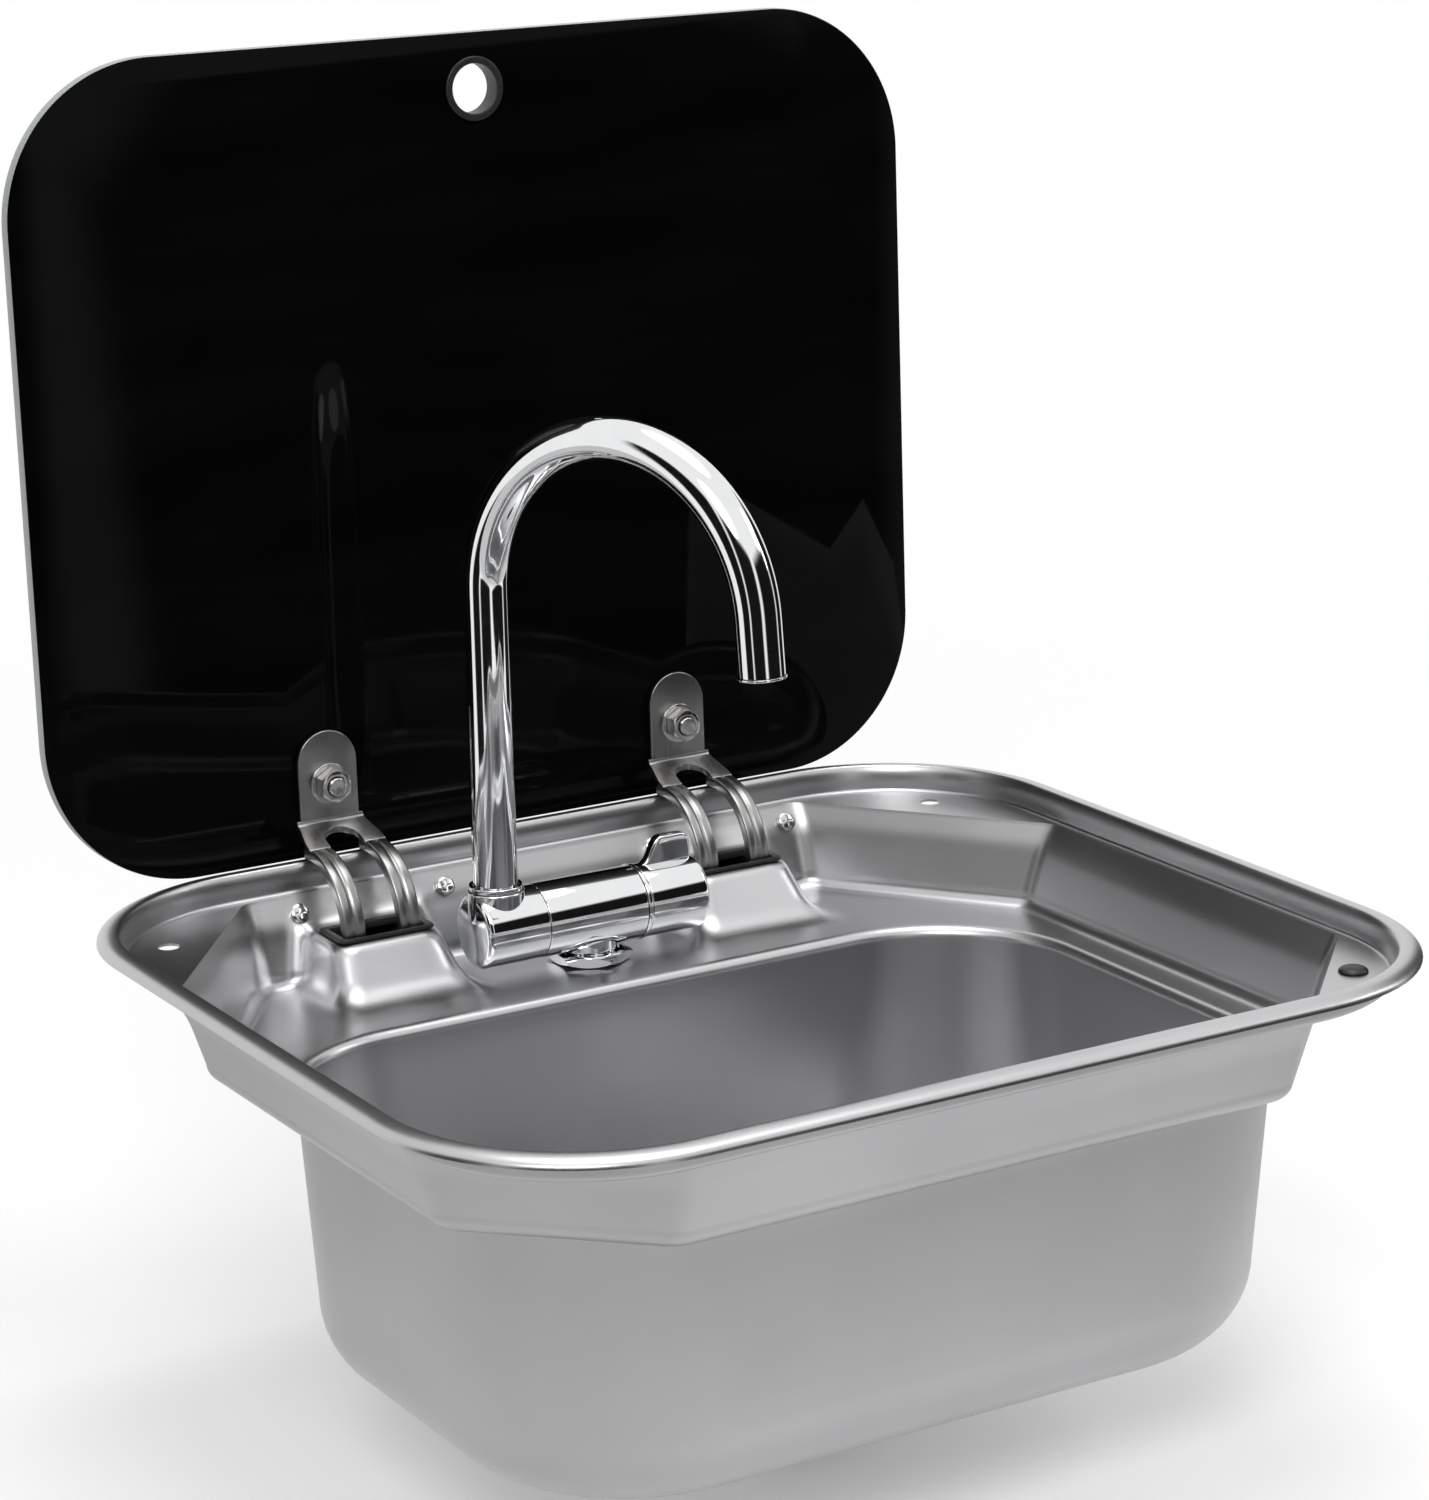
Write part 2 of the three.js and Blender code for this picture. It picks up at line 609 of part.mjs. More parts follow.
function wasteSeatLevels() {
  const circle = (radius, z) => roundLevel(radius, radius, radius, z, 0, BOWL_Y);
  const floor = -BOWL_DEPTH - BOWL_FALL;
  return [
    circle(WASTE_SEAT_RADIUS + WASTE_SEAT_EDGE, floor),
    circle(WASTE_SEAT_RADIUS, floor - WASTE_SEAT_EDGE),
    circle(WASTE_SEAT_RADIUS - WASTE_SEAT_EDGE, WASTE_SEAT_Z),
    circle(WASTE_HOLE_RADIUS, WASTE_SEAT_Z),
  ];
}

// A hinge bump, or with a depth the hollow under it. It runs out through the back wall.
function bumpForm(depth, foot) {
  const back = RIM_WIDTH / 2 + CLEAR;
  const level = (z, edge) => {
    const share = (-z - BUMP_DEPTH) / (SHELF_DEPTH - BUMP_DEPTH);
    const half = THREE.MathUtils.lerp(BUMP_TOP_HALF, BUMP_FOOT_HALF, share) - depth - edge;
    const front = THREE.MathUtils.lerp(BUMP_TOP_FRONT, BUMP_FOOT_FRONT, share) + depth + edge;
    return roundLevel(half, (back - front) / 2, BUMP_CORNER - depth - edge, z - depth, 0, (back + front) / 2);
  };
  const edge = [0, ...quarterTurn(FILLET_STEPS)].map((angle) =>
    level(-BUMP_DEPTH - BUMP_EDGE * (1 - Math.sin(angle)), BUMP_EDGE * (1 - Math.cos(angle))));
  return lofted([level(foot, 0), ...edge]);
}

// The slot's outline at a height, grown all round.
function slotLevel(out, z) {
  const halfWay = (SLOT_BACK - SLOT_FRONT) / 2;
  return grown(roundLevel(SLOT_HALF, halfWay, SLOT_CORNER, z, 0, SLOT_FRONT + halfWay), out);
}

function raisedBumps() {
  const middle = backWall(SHEET / 2);
  const inFront = BUMP_FOOT_FRONT - CLEAR;
  const room = [[inFront, middle[0][1]], ...middle, [inFront, middle.at(-1)[1]]];
  return Object.values(SIDES).map((side) => {
    const x = side * HINGE_X;
    const column = alongX(room, x - 2 * BUMP_FOOT_HALF, x + 2 * BUMP_FOOT_HALF);
    return shared(moved(bumpForm(0, SHELF_UNDER), x, 0, 0), column);
  });
}

function hingeOpenings() {
  return Object.values(SIDES).flatMap((side) => {
    const slot = lofted([slotLevel(0, -SHELF_DEPTH), slotLevel(0, 0)], SMALL_CORNER_STEPS);
    return [bumpForm(SHEET, SHELF_UNDER - SHEET), slot].map((tool) => moved(tool, side * HINGE_X, 0, 0));
  });
}

function basin() {
  const upper = [...rimEdgeLevels(), ...rimFootLevels(), ...tierLevels()];
  const face = [...upper, ...bowlLevels(), ...wasteSeatLevels()];
  const sheet = ringBody([...face, ...under(face, SHEET).reverse()]);
  const ledgeHoles = Object.values(SIDES).flatMap((side) =>
    [-LEDGE_HOLE_Y, LEDGE_HOLE_Y].map((y) =>
      moved(rod(LEDGE_HOLE_RADIUS, -LEDGE_DEPTH - 2 * SHEET, 0, Z, FINE_ROUND), side * LEDGE_HOLE_X, y, 0)));
  const tapHole = moved(rod(SHANK_RADIUS + GAP, SHELF_UNDER - SHEET, -BUMP_DEPTH), TAP_BASE_X, TAP_Y, 0);
  const screwHoles = screwPlaces().map((x) => onBackWall(screwBore(), x));
  return cut(joined(sheet, ...raisedBumps()), ...hingeOpenings(), ...ledgeHoles, tapHole, ...screwHoles);
}

// The seal fills the rolled rim from below and lies flat on the worktop.
function rimSeal() {
  const top = under(rimEdgeLevels(), SHEET + GAP).slice(1);
  return ringBody([{ ...top[0], z: 0 }, ...top, { ...top.at(-1), z: 0 }]);
}

function lidBumper() {
  const top = CLOSED_LID_Z - GAP;
  const seat = GAP - LEDGE_DEPTH;
  const stem = LEDGE_HOLE_RADIUS - GAP;
  const catchTop = -LEDGE_DEPTH - SHEET - GAP;
  const dome = quarterTurn(FILLET_STEPS).map((angle) =>
    [BUMPER_RADIUS * Math.cos(angle), seat + (top - seat) * Math.sin(angle)]);
  return turned([
    [0, catchTop - BUMPER_BARB_LENGTH],
    [stem - BUMPER_BARB, catchTop - BUMPER_BARB_LENGTH],
    [stem + BUMPER_BARB, catchTop],
    [stem, catchTop],
    [stem, seat],
    [BUMPER_RADIUS, seat],
    ...dome.slice(0, -1),
    [0, top],
  ], Z, FINE_ROUND);
}

// ---------- hinge housing, bezel and screws ----------

// Where the screws stand along the back wall, both of one hinge and then both of the other.
function screwPlaces() {
  return Object.values(SIDES).flatMap((side) => [side * HINGE_X + SCREW_INNER, side * HINGE_X + SCREW_OUTER]);
}

// Stands a piece drawn along Z square on the sloped band of the back wall.
function onBackWall(geometry, x) {
  const slope = Math.atan2(BAND_RUN - LEDGE_EDGE / 2, BAND_DROP - LEDGE_EDGE);
  return geometry.clone().rotateX(Math.PI / 2 - slope).translate(x, backWallY(0, -SCREW_DEPTH), -SCREW_DEPTH);
}

const screwBore = () => rod(SCREW_RADIUS + GAP, -SCREW_LENGTH - SCREW_HEAD, SCREW_HEAD, Z, SCREW_ROUND);

function housingScrew() {
  const seat = GAP;
  const domed = quarterTurn(FILLET_STEPS).map((angle) =>
    [SCREW_HEAD_RADIUS * Math.cos(angle), seat + SCREW_HEAD * (1 + Math.sin(angle)) / 2]);
  const screw = turned([
    [0, -SCREW_LENGTH],
    [SCREW_RADIUS, -SCREW_LENGTH],
    [SCREW_RADIUS, seat],
    [SCREW_HEAD_RADIUS, seat],
    [SCREW_HEAD_RADIUS, seat + SCREW_HEAD / 2],
    ...domed.slice(0, -1),
    [0, seat + SCREW_HEAD],
  ], Z, SCREW_ROUND);
  const floor = seat + SCREW_HEAD / 2;
  const over = seat + 2 * SCREW_HEAD;
  const half = SCREW_CROSS / 2;
  const slots = [
    box([-SCREW_CROSS_HALF, -half, floor], [SCREW_CROSS_HALF, half, over]),
    box([-half, -SCREW_CROSS_HALF, floor], [half, SCREW_CROSS_HALF, over]),
  ];
  return cut(screw, ...slots);
}

// A plastic tub with two cheeks for the pin and a flange that is screwed to the back wall.
function hingeHousing() {
  const inner = ARM_HALF + HOUSING_CHEEK_GAP;
  const outer = inner + HOUSING_WALL;
  const front = PIVOT_Y - ARM_RADIUS - HOUSING_FRONT_GAP;
  const floor = PIVOT_Z - ARM_RADIUS - HOUSING_FLOOR_GAP;
  const back = PIVOT_Y + HOUSING_REACH;
  const top = BUMP_UNDER - HOUSING_HEADROOM;
  const earTop = PIVOT_Z + HOUSING_EAR;
  const behind = (z) => backWallY(SHEET + GAP + HOUSING_HEADROOM, z);
  const depth = back + CLEAR - (front - HOUSING_WALL);
  const plan = (z) => roundLevel(outer, depth / 2, HOUSING_CORNER, z, 0, back + CLEAR - depth / 2);
  const column = lofted([plan(floor - HOUSING_WALL - GAP), plan(earTop + GAP)], SMALL_CORNER_STEPS);
  const cheek = alongX([
    [front - HOUSING_WALL, floor - HOUSING_WALL],
    [front - HOUSING_WALL, top],
    [behind(top), top],
    [behind(earTop), earTop],
    [back, earTop],
    [back, floor - HOUSING_WALL],
  ], -outer, outer);
  const [near, far] = [SHEET + GAP, SHEET + GAP + HOUSING_FLANGE].map((depth) => backWall(depth).slice(1, 3));
  const flange = alongX([...near, ...far.reverse()], SCREW_INNER - SCREW_MARGIN, SCREW_OUTER + SCREW_MARGIN);
  const room = box([-inner, front, floor], [inner, back + CLEAR, PIVOT_Z + HUB_RADIUS + HOUSING_FLOOR_GAP]);
  const pinHole = turned([
    [0, -outer - GAP],
    [PIN_RADIUS + GAP, -outer - GAP],
    [PIN_RADIUS + GAP, outer],
    [PIN_HEAD_RADIUS + GAP, outer],
    [PIN_HEAD_RADIUS + GAP, outer + PIN_HEAD + 2 * GAP],
    [0, outer + PIN_HEAD + 2 * GAP],
  ], X, FINE_ROUND);
  const screwHoles = [SCREW_INNER, SCREW_OUTER].map((x) => onBackWall(screwBore(), x));
  return cut(joined(shared(cheek, column), flange), room, moved(pinHole, 0, PIVOT_Y, PIVOT_Z), ...screwHoles);
}

function hingePin() {
  const outer = ARM_HALF + HOUSING_CHEEK_GAP + HOUSING_WALL;
  return turned([
    [0, -outer],
    [PIN_RADIUS, -outer],
    [PIN_RADIUS, outer + GAP],
    [PIN_HEAD_RADIUS, outer + GAP],
    [PIN_HEAD_RADIUS, outer + GAP + PIN_HEAD],
    [0, outer + GAP + PIN_HEAD],
  ], X, FINE_ROUND);
}

function slotBezel() {
  const flangeFoot = GAP - BUMP_DEPTH;
  const top = flangeFoot + BEZEL_RISE;
  const foot = BUMP_UNDER - GAP;
  const lipFront = SLOT_FRONT - BEZEL_LIP_FRONT;
  const lipBack = SLOT_BACK + BEZEL_LIP;
  const halfWay = (lipBack - lipFront) / 2;
  const lip = (z) =>
    roundLevel(SLOT_HALF + BEZEL_LIP, halfWay, SLOT_CORNER + GAP, z, 0, lipFront + halfWay);
  return ringBody([
    lip(top),
    lip(flangeFoot),
    slotLevel(-GAP, flangeFoot),
    slotLevel(-GAP, foot),
    slotLevel(-GAP - BEZEL_WALL, foot),
    slotLevel(-GAP - BEZEL_WALL, top),
  ], SMALL_CORNER_STEPS);
}

// ---------- lid, drawn upright with the hinge line at the origin ----------

function glassLid() {
  const middle = LID_FOOT + LID_HEIGHT / 2;
  const outline = roundLevel(LID_LENGTH / 2, LID_HEIGHT / 2, LID_CORNER, -LID_FACE, 0, middle);
  const face = (inset, depth) => grown(outline, -inset, -depth);
  const pane = lofted([
    face(GLASS_EDGE, GLASS),
    face(0, GLASS - GLASS_EDGE),
    face(0, GLASS_EDGE),
    face(GLASS_EDGE, 0),
  ]).rotateX(Math.PI / 2);
  const through = (radius, x, z) => moved(rod(radius, LID_FACE - CLEAR, LID_FACE + CLEAR, Y), x, 0, z);
  const boltHoles = Object.values(SIDES).map((side) =>
    through(BOLT_RADIUS + GAP, side * HINGE_X, BOLT_HEIGHT));
  return cut(pane, through(FINGER_HOLE_RADIUS, 0, FINGER_HOLE_HEIGHT), ...boltHoles);
}

function fingerHoleRing() {
  const stem = FINGER_HOLE_RADIUS - GAP;
  const rim = FINGER_HOLE_RADIUS + FINGER_RING_OVERLAP;
  const seats = [LID_FACE - GAP, LID_FACE + GLASS + GAP];
  const faces = [seats[0] - FINGER_RING_LIP, seats[1] + FINGER_RING_LIP];
  return turned([
    [FINGER_RING_BORE, faces[0]],
    [rim, faces[0]],
    [rim, seats[0]],
    [stem, seats[0]],
    [stem, seats[1]],
    [rim, seats[1]],
    [rim, faces[1]],
    [FINGER_RING_BORE, faces[1]],
  ], Y);
}

// The tongue's outline in X and Z, inset all round: straight sides and a round top.
function tongueShape(inset, foot) {
  const half = TONGUE_RADIUS - inset;
  const springing = TONGUE_TOP - TONGUE_RADIUS;
  const shape = new THREE.Shape();
  shape.moveTo(-half, foot + inset);
  shape.lineTo(half, foot + inset);
  shape.lineTo(half, springing);
  shape.absarc(0, springing, half, 0, Math.PI, false);
  shape.closePath();
  const hole = new THREE.Path();
  hole.absarc(0, BOLT_HEIGHT, BOLT_RADIUS + GAP, 0, 2 * Math.PI, true);
  shape.holes.push(hole);
  return shape;
}

// From the bend at the tongue's foot, forwards and down on to the arms.
function leafRamp() {
  const ramp = alongX([
    [TONGUE_BACK, BEND_HEIGHT],
    [TONGUE_FRONT, BEND_HEIGHT],
    [TONGUE_FRONT - LEAF, BEND_HEIGHT - LEAF],
    [-LEAF, ARM_RADIUS],
    [-LEAF, ARM_RADIUS - LEAF],
    [TONGUE_FRONT, BEND_HEIGHT - 2 * LEAF],
    [TONGUE_BACK, BEND_HEIGHT - LEAF],
  ], -ARM_HALF, ARM_HALF);
  const plan = new THREE.Shape();
  const opening = TONGUE_FRONT - LEAF - LEAF_OPENING_RADIUS - LEAF;
  plan.moveTo(SHOULDER_HALF, TONGUE_BACK + LEAF);
  plan.lineTo(-SHOULDER_HALF, TONGUE_BACK + LEAF);
  plan.lineTo(-SHOULDER_HALF, TONGUE_FRONT - LEAF);
  plan.lineTo(-ARM_HALF, opening);
  plan.lineTo(-ARM_HALF, -2 * LEAF);
  plan.lineTo(-LEAF_OPENING_RADIUS, -2 * LEAF);
  plan.lineTo(-LEAF_OPENING_RADIUS, opening);
  plan.absarc(0, opening, LEAF_OPENING_RADIUS, Math.PI, 0, true);
  plan.lineTo(LEAF_OPENING_RADIUS, -2 * LEAF);
  plan.lineTo(ARM_HALF, -2 * LEAF);
  plan.lineTo(ARM_HALF, opening);
  plan.lineTo(SHOULDER_HALF, TONGUE_FRONT - LEAF);
  plan.closePath();
  const upwards = { depth: 2 * BEND_HEIGHT, bevelEnabled: false, curveSegments: CURVE_STEPS };
  const column = new THREE.ExtrudeGeometry(plan, upwards);
  return shared(ramp, column);
}

// One arm: a channel, open to the hinge line, swept round it. A shallow groove runs along its back.
function leafArm(side) {
  const inner = ARM_RADIUS - ARM_DEPTH;
  const web = ARM_RADIUS - ARM_WALL;
  const [near, far] = [LEAF_OPENING_RADIUS, ARM_HALF];
  const groove = THREE.MathUtils.lerp(near, far, 0.5);
  const profile = [
    [near, inner],
    [near, ARM_RADIUS],
    [groove - ARM_GROOVE_WIDTH, ARM_RADIUS],
    [groove, ARM_RADIUS - ARM_GROOVE],
    [groove + ARM_GROOVE_WIDTH, ARM_RADIUS],
    [far, ARM_RADIUS],
    [far, inner],
    [far - ARM_WALL, inner],
    [far - ARM_WALL, web],
    [near + ARM_WALL, web],
    [near + ARM_WALL, inner],
  ];
  const rings = Array.from({ length: ARM_STEPS + 1 }, (_, i) => {
    const angle = THREE.MathUtils.lerp(ARM_TOP_ANGLE, ARM_END_ANGLE, i / ARM_STEPS);
    return profile.map(([x, radius]) =>
      new THREE.Vector3(side * x, -radius * Math.cos(angle), radius * Math.sin(angle)));
  });
  return skinned(rings, profile.map(([x, radius]) => new THREE.Vector2(side * x, radius)));
}

// From the end of an arm back to the hinge line.
function leafLink(side) {
  const outer = ARM_HALF - ARM_WALL / 2;
  const [from, to] = side < 0 ? [-outer, LINK - outer] : [outer - LINK, outer];
  const bar = alongX([
    [ARM_WALL - ARM_RADIUS, LINK_FOOT],
    [0, LINK_FOOT + HUB_WALL],
    [0, LINK_TOP],
    [ARM_WALL - ARM_RADIUS, LINK_TOP],
  ], from, to);
  return joined(bar, rod(HUB_RADIUS, from, to, X, FINE_ROUND));
}

function hingeLeaf() {
  const tongue = alongY(tongueShape(0, BEND_HEIGHT - LEAF), TONGUE_FRONT, TONGUE_BACK);
  const arms = Object.values(SIDES).flatMap((side) => [leafArm(side), leafLink(side)]);
  const bore = rod(PIN_RADIUS + GAP, -ARM_HALF - GAP, ARM_HALF + GAP, X, FINE_ROUND);
  return cut(joined(tongue, leafRamp(), ...arms), bore);
}

const glassPad = () => alongY(tongueShape(PAD_MARGIN, BEND_HEIGHT + LEAF), TONGUE_BACK + GAP, LID_FACE - GAP);

// Cap on the far side of the glass, shank through it, and a stud that shows past the nut.
function lidBolt() {
  const capSeat = LID_FACE + GLASS + CAP_WASHER + 2 * GAP;
  const tip = TONGUE_FRONT - LID_WASHER - LID_NUT - STUD_END - 2 * GAP;
  const edge = BOLT_CAP / 2;
  const dome = quarterTurn(FILLET_STEPS).map((angle) =>
    [BOLT_CAP_RADIUS - edge * (1 - Math.cos(angle)), capSeat + edge * (1 + Math.sin(angle))]);
  return turned([
    [0, tip],
    [BOLT_RADIUS - GAP, tip],
    [BOLT_RADIUS, tip + GAP],
    [BOLT_RADIUS, capSeat],
    [BOLT_CAP_RADIUS, capSeat],
    [BOLT_CAP_RADIUS, capSeat + edge],
    ...dome,
    [0, capSeat + BOLT_CAP],
  ], Y, FINE_ROUND);
}

function glassWasher() {
  const seat = LID_FACE + GLASS + GAP;
  return tube(BOLT_CAP_RADIUS, BOLT_RADIUS + GAP, seat, seat + CAP_WASHER, Y, FINE_ROUND);
}

function lidWasher() {
  const seat = TONGUE_FRONT - GAP;
  return tube(LID_WASHER_RADIUS, BOLT_RADIUS + GAP, seat - LID_WASHER, seat, Y, FINE_ROUND);
}

function lidNut() {
  const seat = TONGUE_FRONT - LID_WASHER - 2 * GAP;
  return hexNut(LID_NUT_FLATS, BOLT_RADIUS + GAP, seat - LID_NUT, seat, Y);
}

function lid() {
  const group = new THREE.Group();
  group.position.set(0, PIVOT_Y, PIVOT_Z);
  group.rotation.x = -LID_LEAN;
  group.add(
    named('glass_lid', glassLid(), glass()),
    placed('finger_hole_ring', fingerHoleRing(), blackPlastic(), 0, FINGER_HOLE_HEIGHT),
  );
  for (const [name, side] of Object.entries(SIDES)) {
    const x = side * HINGE_X;
    group.add(
      placed(`hinge_leaf_${name}`, hingeLeaf(), hingeSteel(), x),
      placed(`lid_bolt_${name}`, lidBolt(), hingeSteel(), x, BOLT_HEIGHT),
      placed(`glass_washer_${name}`, glassWasher(), rubber(), x, BOLT_HEIGHT),
      placed(`glass_pad_${name}`, glassPad(), rubber(), x),
      placed(`lid_washer_${name}`, lidWasher(), hingeSteel(), x, BOLT_HEIGHT),
      placed(`lid_nut_${name}`, lidNut(), hingeSteel(), x, BOLT_HEIGHT),
    );
  }
  return group;
}

// ---------- tap, drawn round its own axis ----------

function tapBody() {
  const end = TAP_RING_X - GAP;
  const start = TAP_SEAM + GAP / 2;
  const barrel = turned([
    [0, start - SPIGOT_LENGTH],
    [SPIGOT_RADIUS, start - SPIGOT_LENGTH],
    [SPIGOT_RADIUS, start],
    [TAP_RADIUS - GAP, start],
    [TAP_RADIUS, start + GAP],
    [TAP_RADIUS, end],
    [0, end],
  ], X);
  const shelf = -SHELF_DEPTH - TAP_AXIS_Z;
  const foot = SHANK_FOOT - TAP_AXIS_Z;
  const stem = turned([
    [0, foot],
    [SHANK_RADIUS, foot],
    [SHANK_RADIUS, shelf + GAP],
    [NECK_RADIUS, shelf + GAP],
    [NECK_RADIUS, 0],
    [0, 0],
  ]);
  const bore = rod(CARTRIDGE_RADIUS + GAP, end - CARTRIDGE_LENGTH - GAP, end + GAP, X);
  const sockets = [-INLET_X, INLET_X].map((x) =>
    moved(rod(INLET_RADIUS + GAP, foot - GAP, foot + INLET_SOCKET, Z, FINE_ROUND), TAP_BASE_X + x, 0, 0));
  return cut(joined(barrel, moved(stem, TAP_BASE_X, 0, 0)), bore, ...sockets);
}

function tapCartridge() {
  const end = TAP_RING_X - GAP;
  return tube(CARTRIDGE_RADIUS, SPINDLE_RADIUS + GAP, end - CARTRIDGE_LENGTH, end, X, FINE_ROUND);
}

const tapRing = () =>
  tube(TAP_RADIUS + RING_PROUD, SPINDLE_RADIUS + GAP, TAP_RING_X, TAP_RING_X + RING_THICKNESS, X);

// Knob with its spindle, and a thumb paddle that stands on top.
function tapLever() {
  const start = TAP_RING_X + RING_THICKNESS + GAP;
  const edge = quarterTurn(FILLET_STEPS).map((angle) =>
    [TAP_RADIUS - TAP_EDGE * (1 - Math.cos(angle)), TAP_RIGHT - TAP_EDGE * (1 - Math.sin(angle))]);
  const knob = turned([
    [0, start - SPINDLE_LENGTH],
    [SPINDLE_RADIUS, start - SPINDLE_LENGTH],
    [SPINDLE_RADIUS, start],
    [TAP_RADIUS - GAP, start],
    [TAP_RADIUS, start + GAP],
    [TAP_RADIUS, TAP_RIGHT - TAP_EDGE],
    ...edge,
    [0, TAP_RIGHT],
  ], X);
  return joined(knob, alongY(paddleShape(start), -PADDLE / 2, PADDLE / 2));
}

// The paddle seen from the front: both flanks are S-curves and the top is round.
function paddleShape(start) {
  const root = TAP_RADIUS - TAP_EDGE;
  const flank = TAP_RADIUS - GAP;
  const top = TAP_RADIUS + PADDLE_HEIGHT;
  const left = start + PADDLE_MARGIN;
  const right = TAP_RIGHT - TAP_EDGE;
  const topLeft = start + PADDLE_TOP_LEFT;
  const topRight = start + PADDLE_TOP_RIGHT;
  const shape = new THREE.Shape();
  shape.moveTo(left, root);
  shape.lineTo(right, root);
  shape.lineTo(right, flank);
  shape.bezierCurveTo(right, top - TAP_EDGE, topRight + TAP_EDGE, top, topRight - TAP_EDGE, top);
  shape.lineTo(topLeft + TAP_EDGE, top);
  shape.bezierCurveTo(topLeft - TAP_EDGE, top, topLeft - TAP_EDGE, flank, left, flank);
  shape.closePath();
  return shape;
}

// End block that carries the spout and folds forwards round the tap's axis.
function spoutBlock() {
  const end = TAP_SEAM - GAP / 2;
  const edge = [0, ...quarterTurn(FILLET_STEPS)].map((angle) =>
    [TAP_RADIUS - TAP_EDGE * (1 - Math.sin(angle)), TAP_LEFT + TAP_EDGE * (1 - Math.cos(angle))]);
  const barrel = turned([
    [0, TAP_LEFT],
    ...edge,
    [TAP_RADIUS, end - GAP],
    [TAP_RADIUS - GAP, end],
    [0, end],
  ], X);
  const boss = moved(rod(PIPE_SOCKET_RADIUS + BOSS_WALL, 0, BOSS_TOP), PIPE_X, 0, 0);
  const socket = moved(rod(PIPE_SOCKET_RADIUS, BOSS_TOP - PIPE_SOCKET, BOSS_TOP + GAP), PIPE_X, 0, 0);
  const bearing = rod(SPIGOT_RADIUS + GAP, end - SPIGOT_LENGTH - GAP, end + GAP, X);
  return cut(joined(barrel, boss), socket, bearing);
}

function spoutCollar() {
  const seat = BOSS_TOP + GAP;
  return tube(PIPE_SOCKET_RADIUS + COLLAR_WALL, PIPE_SOCKET_RADIUS, seat, seat + COLLAR_HEIGHT);
}

// The pipe's centre line in X and Z, from its foot in the block to its open end.
function pipeStations() {
  const foot = BOSS_TOP - PIPE_SOCKET + GAP;
  const bendZ = PIPE_BEND_Z - TAP_AXIS_Z;
  const bend = Array.from({ length: PIPE_BEND_STEPS + 1 }, (_, i) => {
    const angle = (PIPE_BEND_ANGLE * i) / PIPE_BEND_STEPS;
    const at = new THREE.Vector3(1 - Math.cos(angle), 0, Math.sin(angle)).multiplyScalar(PIPE_BEND_RADIUS);
    return { at: at.setZ(at.z + bendZ), along: new THREE.Vector3(Math.sin(angle), 0, Math.cos(angle)) };
  });
  const last = bend.at(-1);
  const end = { at: last.at.clone().addScaledVector(last.along, PIPE_DROP), along: last.along };
  return [{ at: new THREE.Vector3(0, 0, foot), along: Z }, ...bend, end];
}

function spoutPipe() {
  const ringAt = (radius) => ({ at, along }) => {
    const across = new THREE.Vector3().crossVectors(Y, along);
    return Array.from({ length: FINE_ROUND }, (_, i) => {
      const angle = (i / FINE_ROUND) * 2 * Math.PI;
      const [side, front] = [radius * Math.cos(angle), radius * Math.sin(angle)];
      return at.clone().addScaledVector(Y, side).addScaledVector(across, front);
    });
  };
  const stations = pipeStations();
  return skinned([
    ...stations.map(ringAt(PIPE_RADIUS)),
    ...stations.map(ringAt(PIPE_RADIUS - PIPE_WALL)).reverse(),
  ]);
}

// Insert in the open end. Its lip covers the pipe's edge.
function spoutOutlet() {
  const stem = PIPE_RADIUS - PIPE_WALL - GAP;
  return turned([
    [OUTLET_BORE, -OUTLET_LENGTH],
    [stem, -OUTLET_LENGTH],
    [stem, GAP],
    [PIPE_RADIUS + OUTLET_PROUD, GAP],
    [PIPE_RADIUS + OUTLET_PROUD, GAP + OUTLET_LIP],
    [OUTLET_BORE, GAP + OUTLET_LIP],
  ], Z, FINE_ROUND);
}

function spout() {
  const group = new THREE.Group();
  group.position.x = PIPE_X;
  group.rotation.z = SPOUT_TURN;
  const outlet = named('spout_outlet', spoutOutlet(), chrome());
  const { at, along } = pipeStations().at(-1);
  outlet.position.copy(at);
  outlet.quaternion.setFromUnitVectors(Z, along);
  group.add(named('spout_pipe', spoutPipe(), chrome()), outlet);
  return group;
}

function tap() {
  const group = new THREE.Group();
  group.position.set(0, TAP_Y, TAP_AXIS_Z);
  group.add(
    named('tap_body', tapBody(), chrome()),
    named('tap_cartridge', tapCartridge(), greyPlastic()),
    named('tap_ring', tapRing(), chrome()),
    named('tap_lever', tapLever(), chrome()),
    named('spout_block', spoutBlock(), chrome()),
    placed('spout_collar', spoutCollar(), chrome(), PIPE_X),
    spout(),
  );
  return group;
}

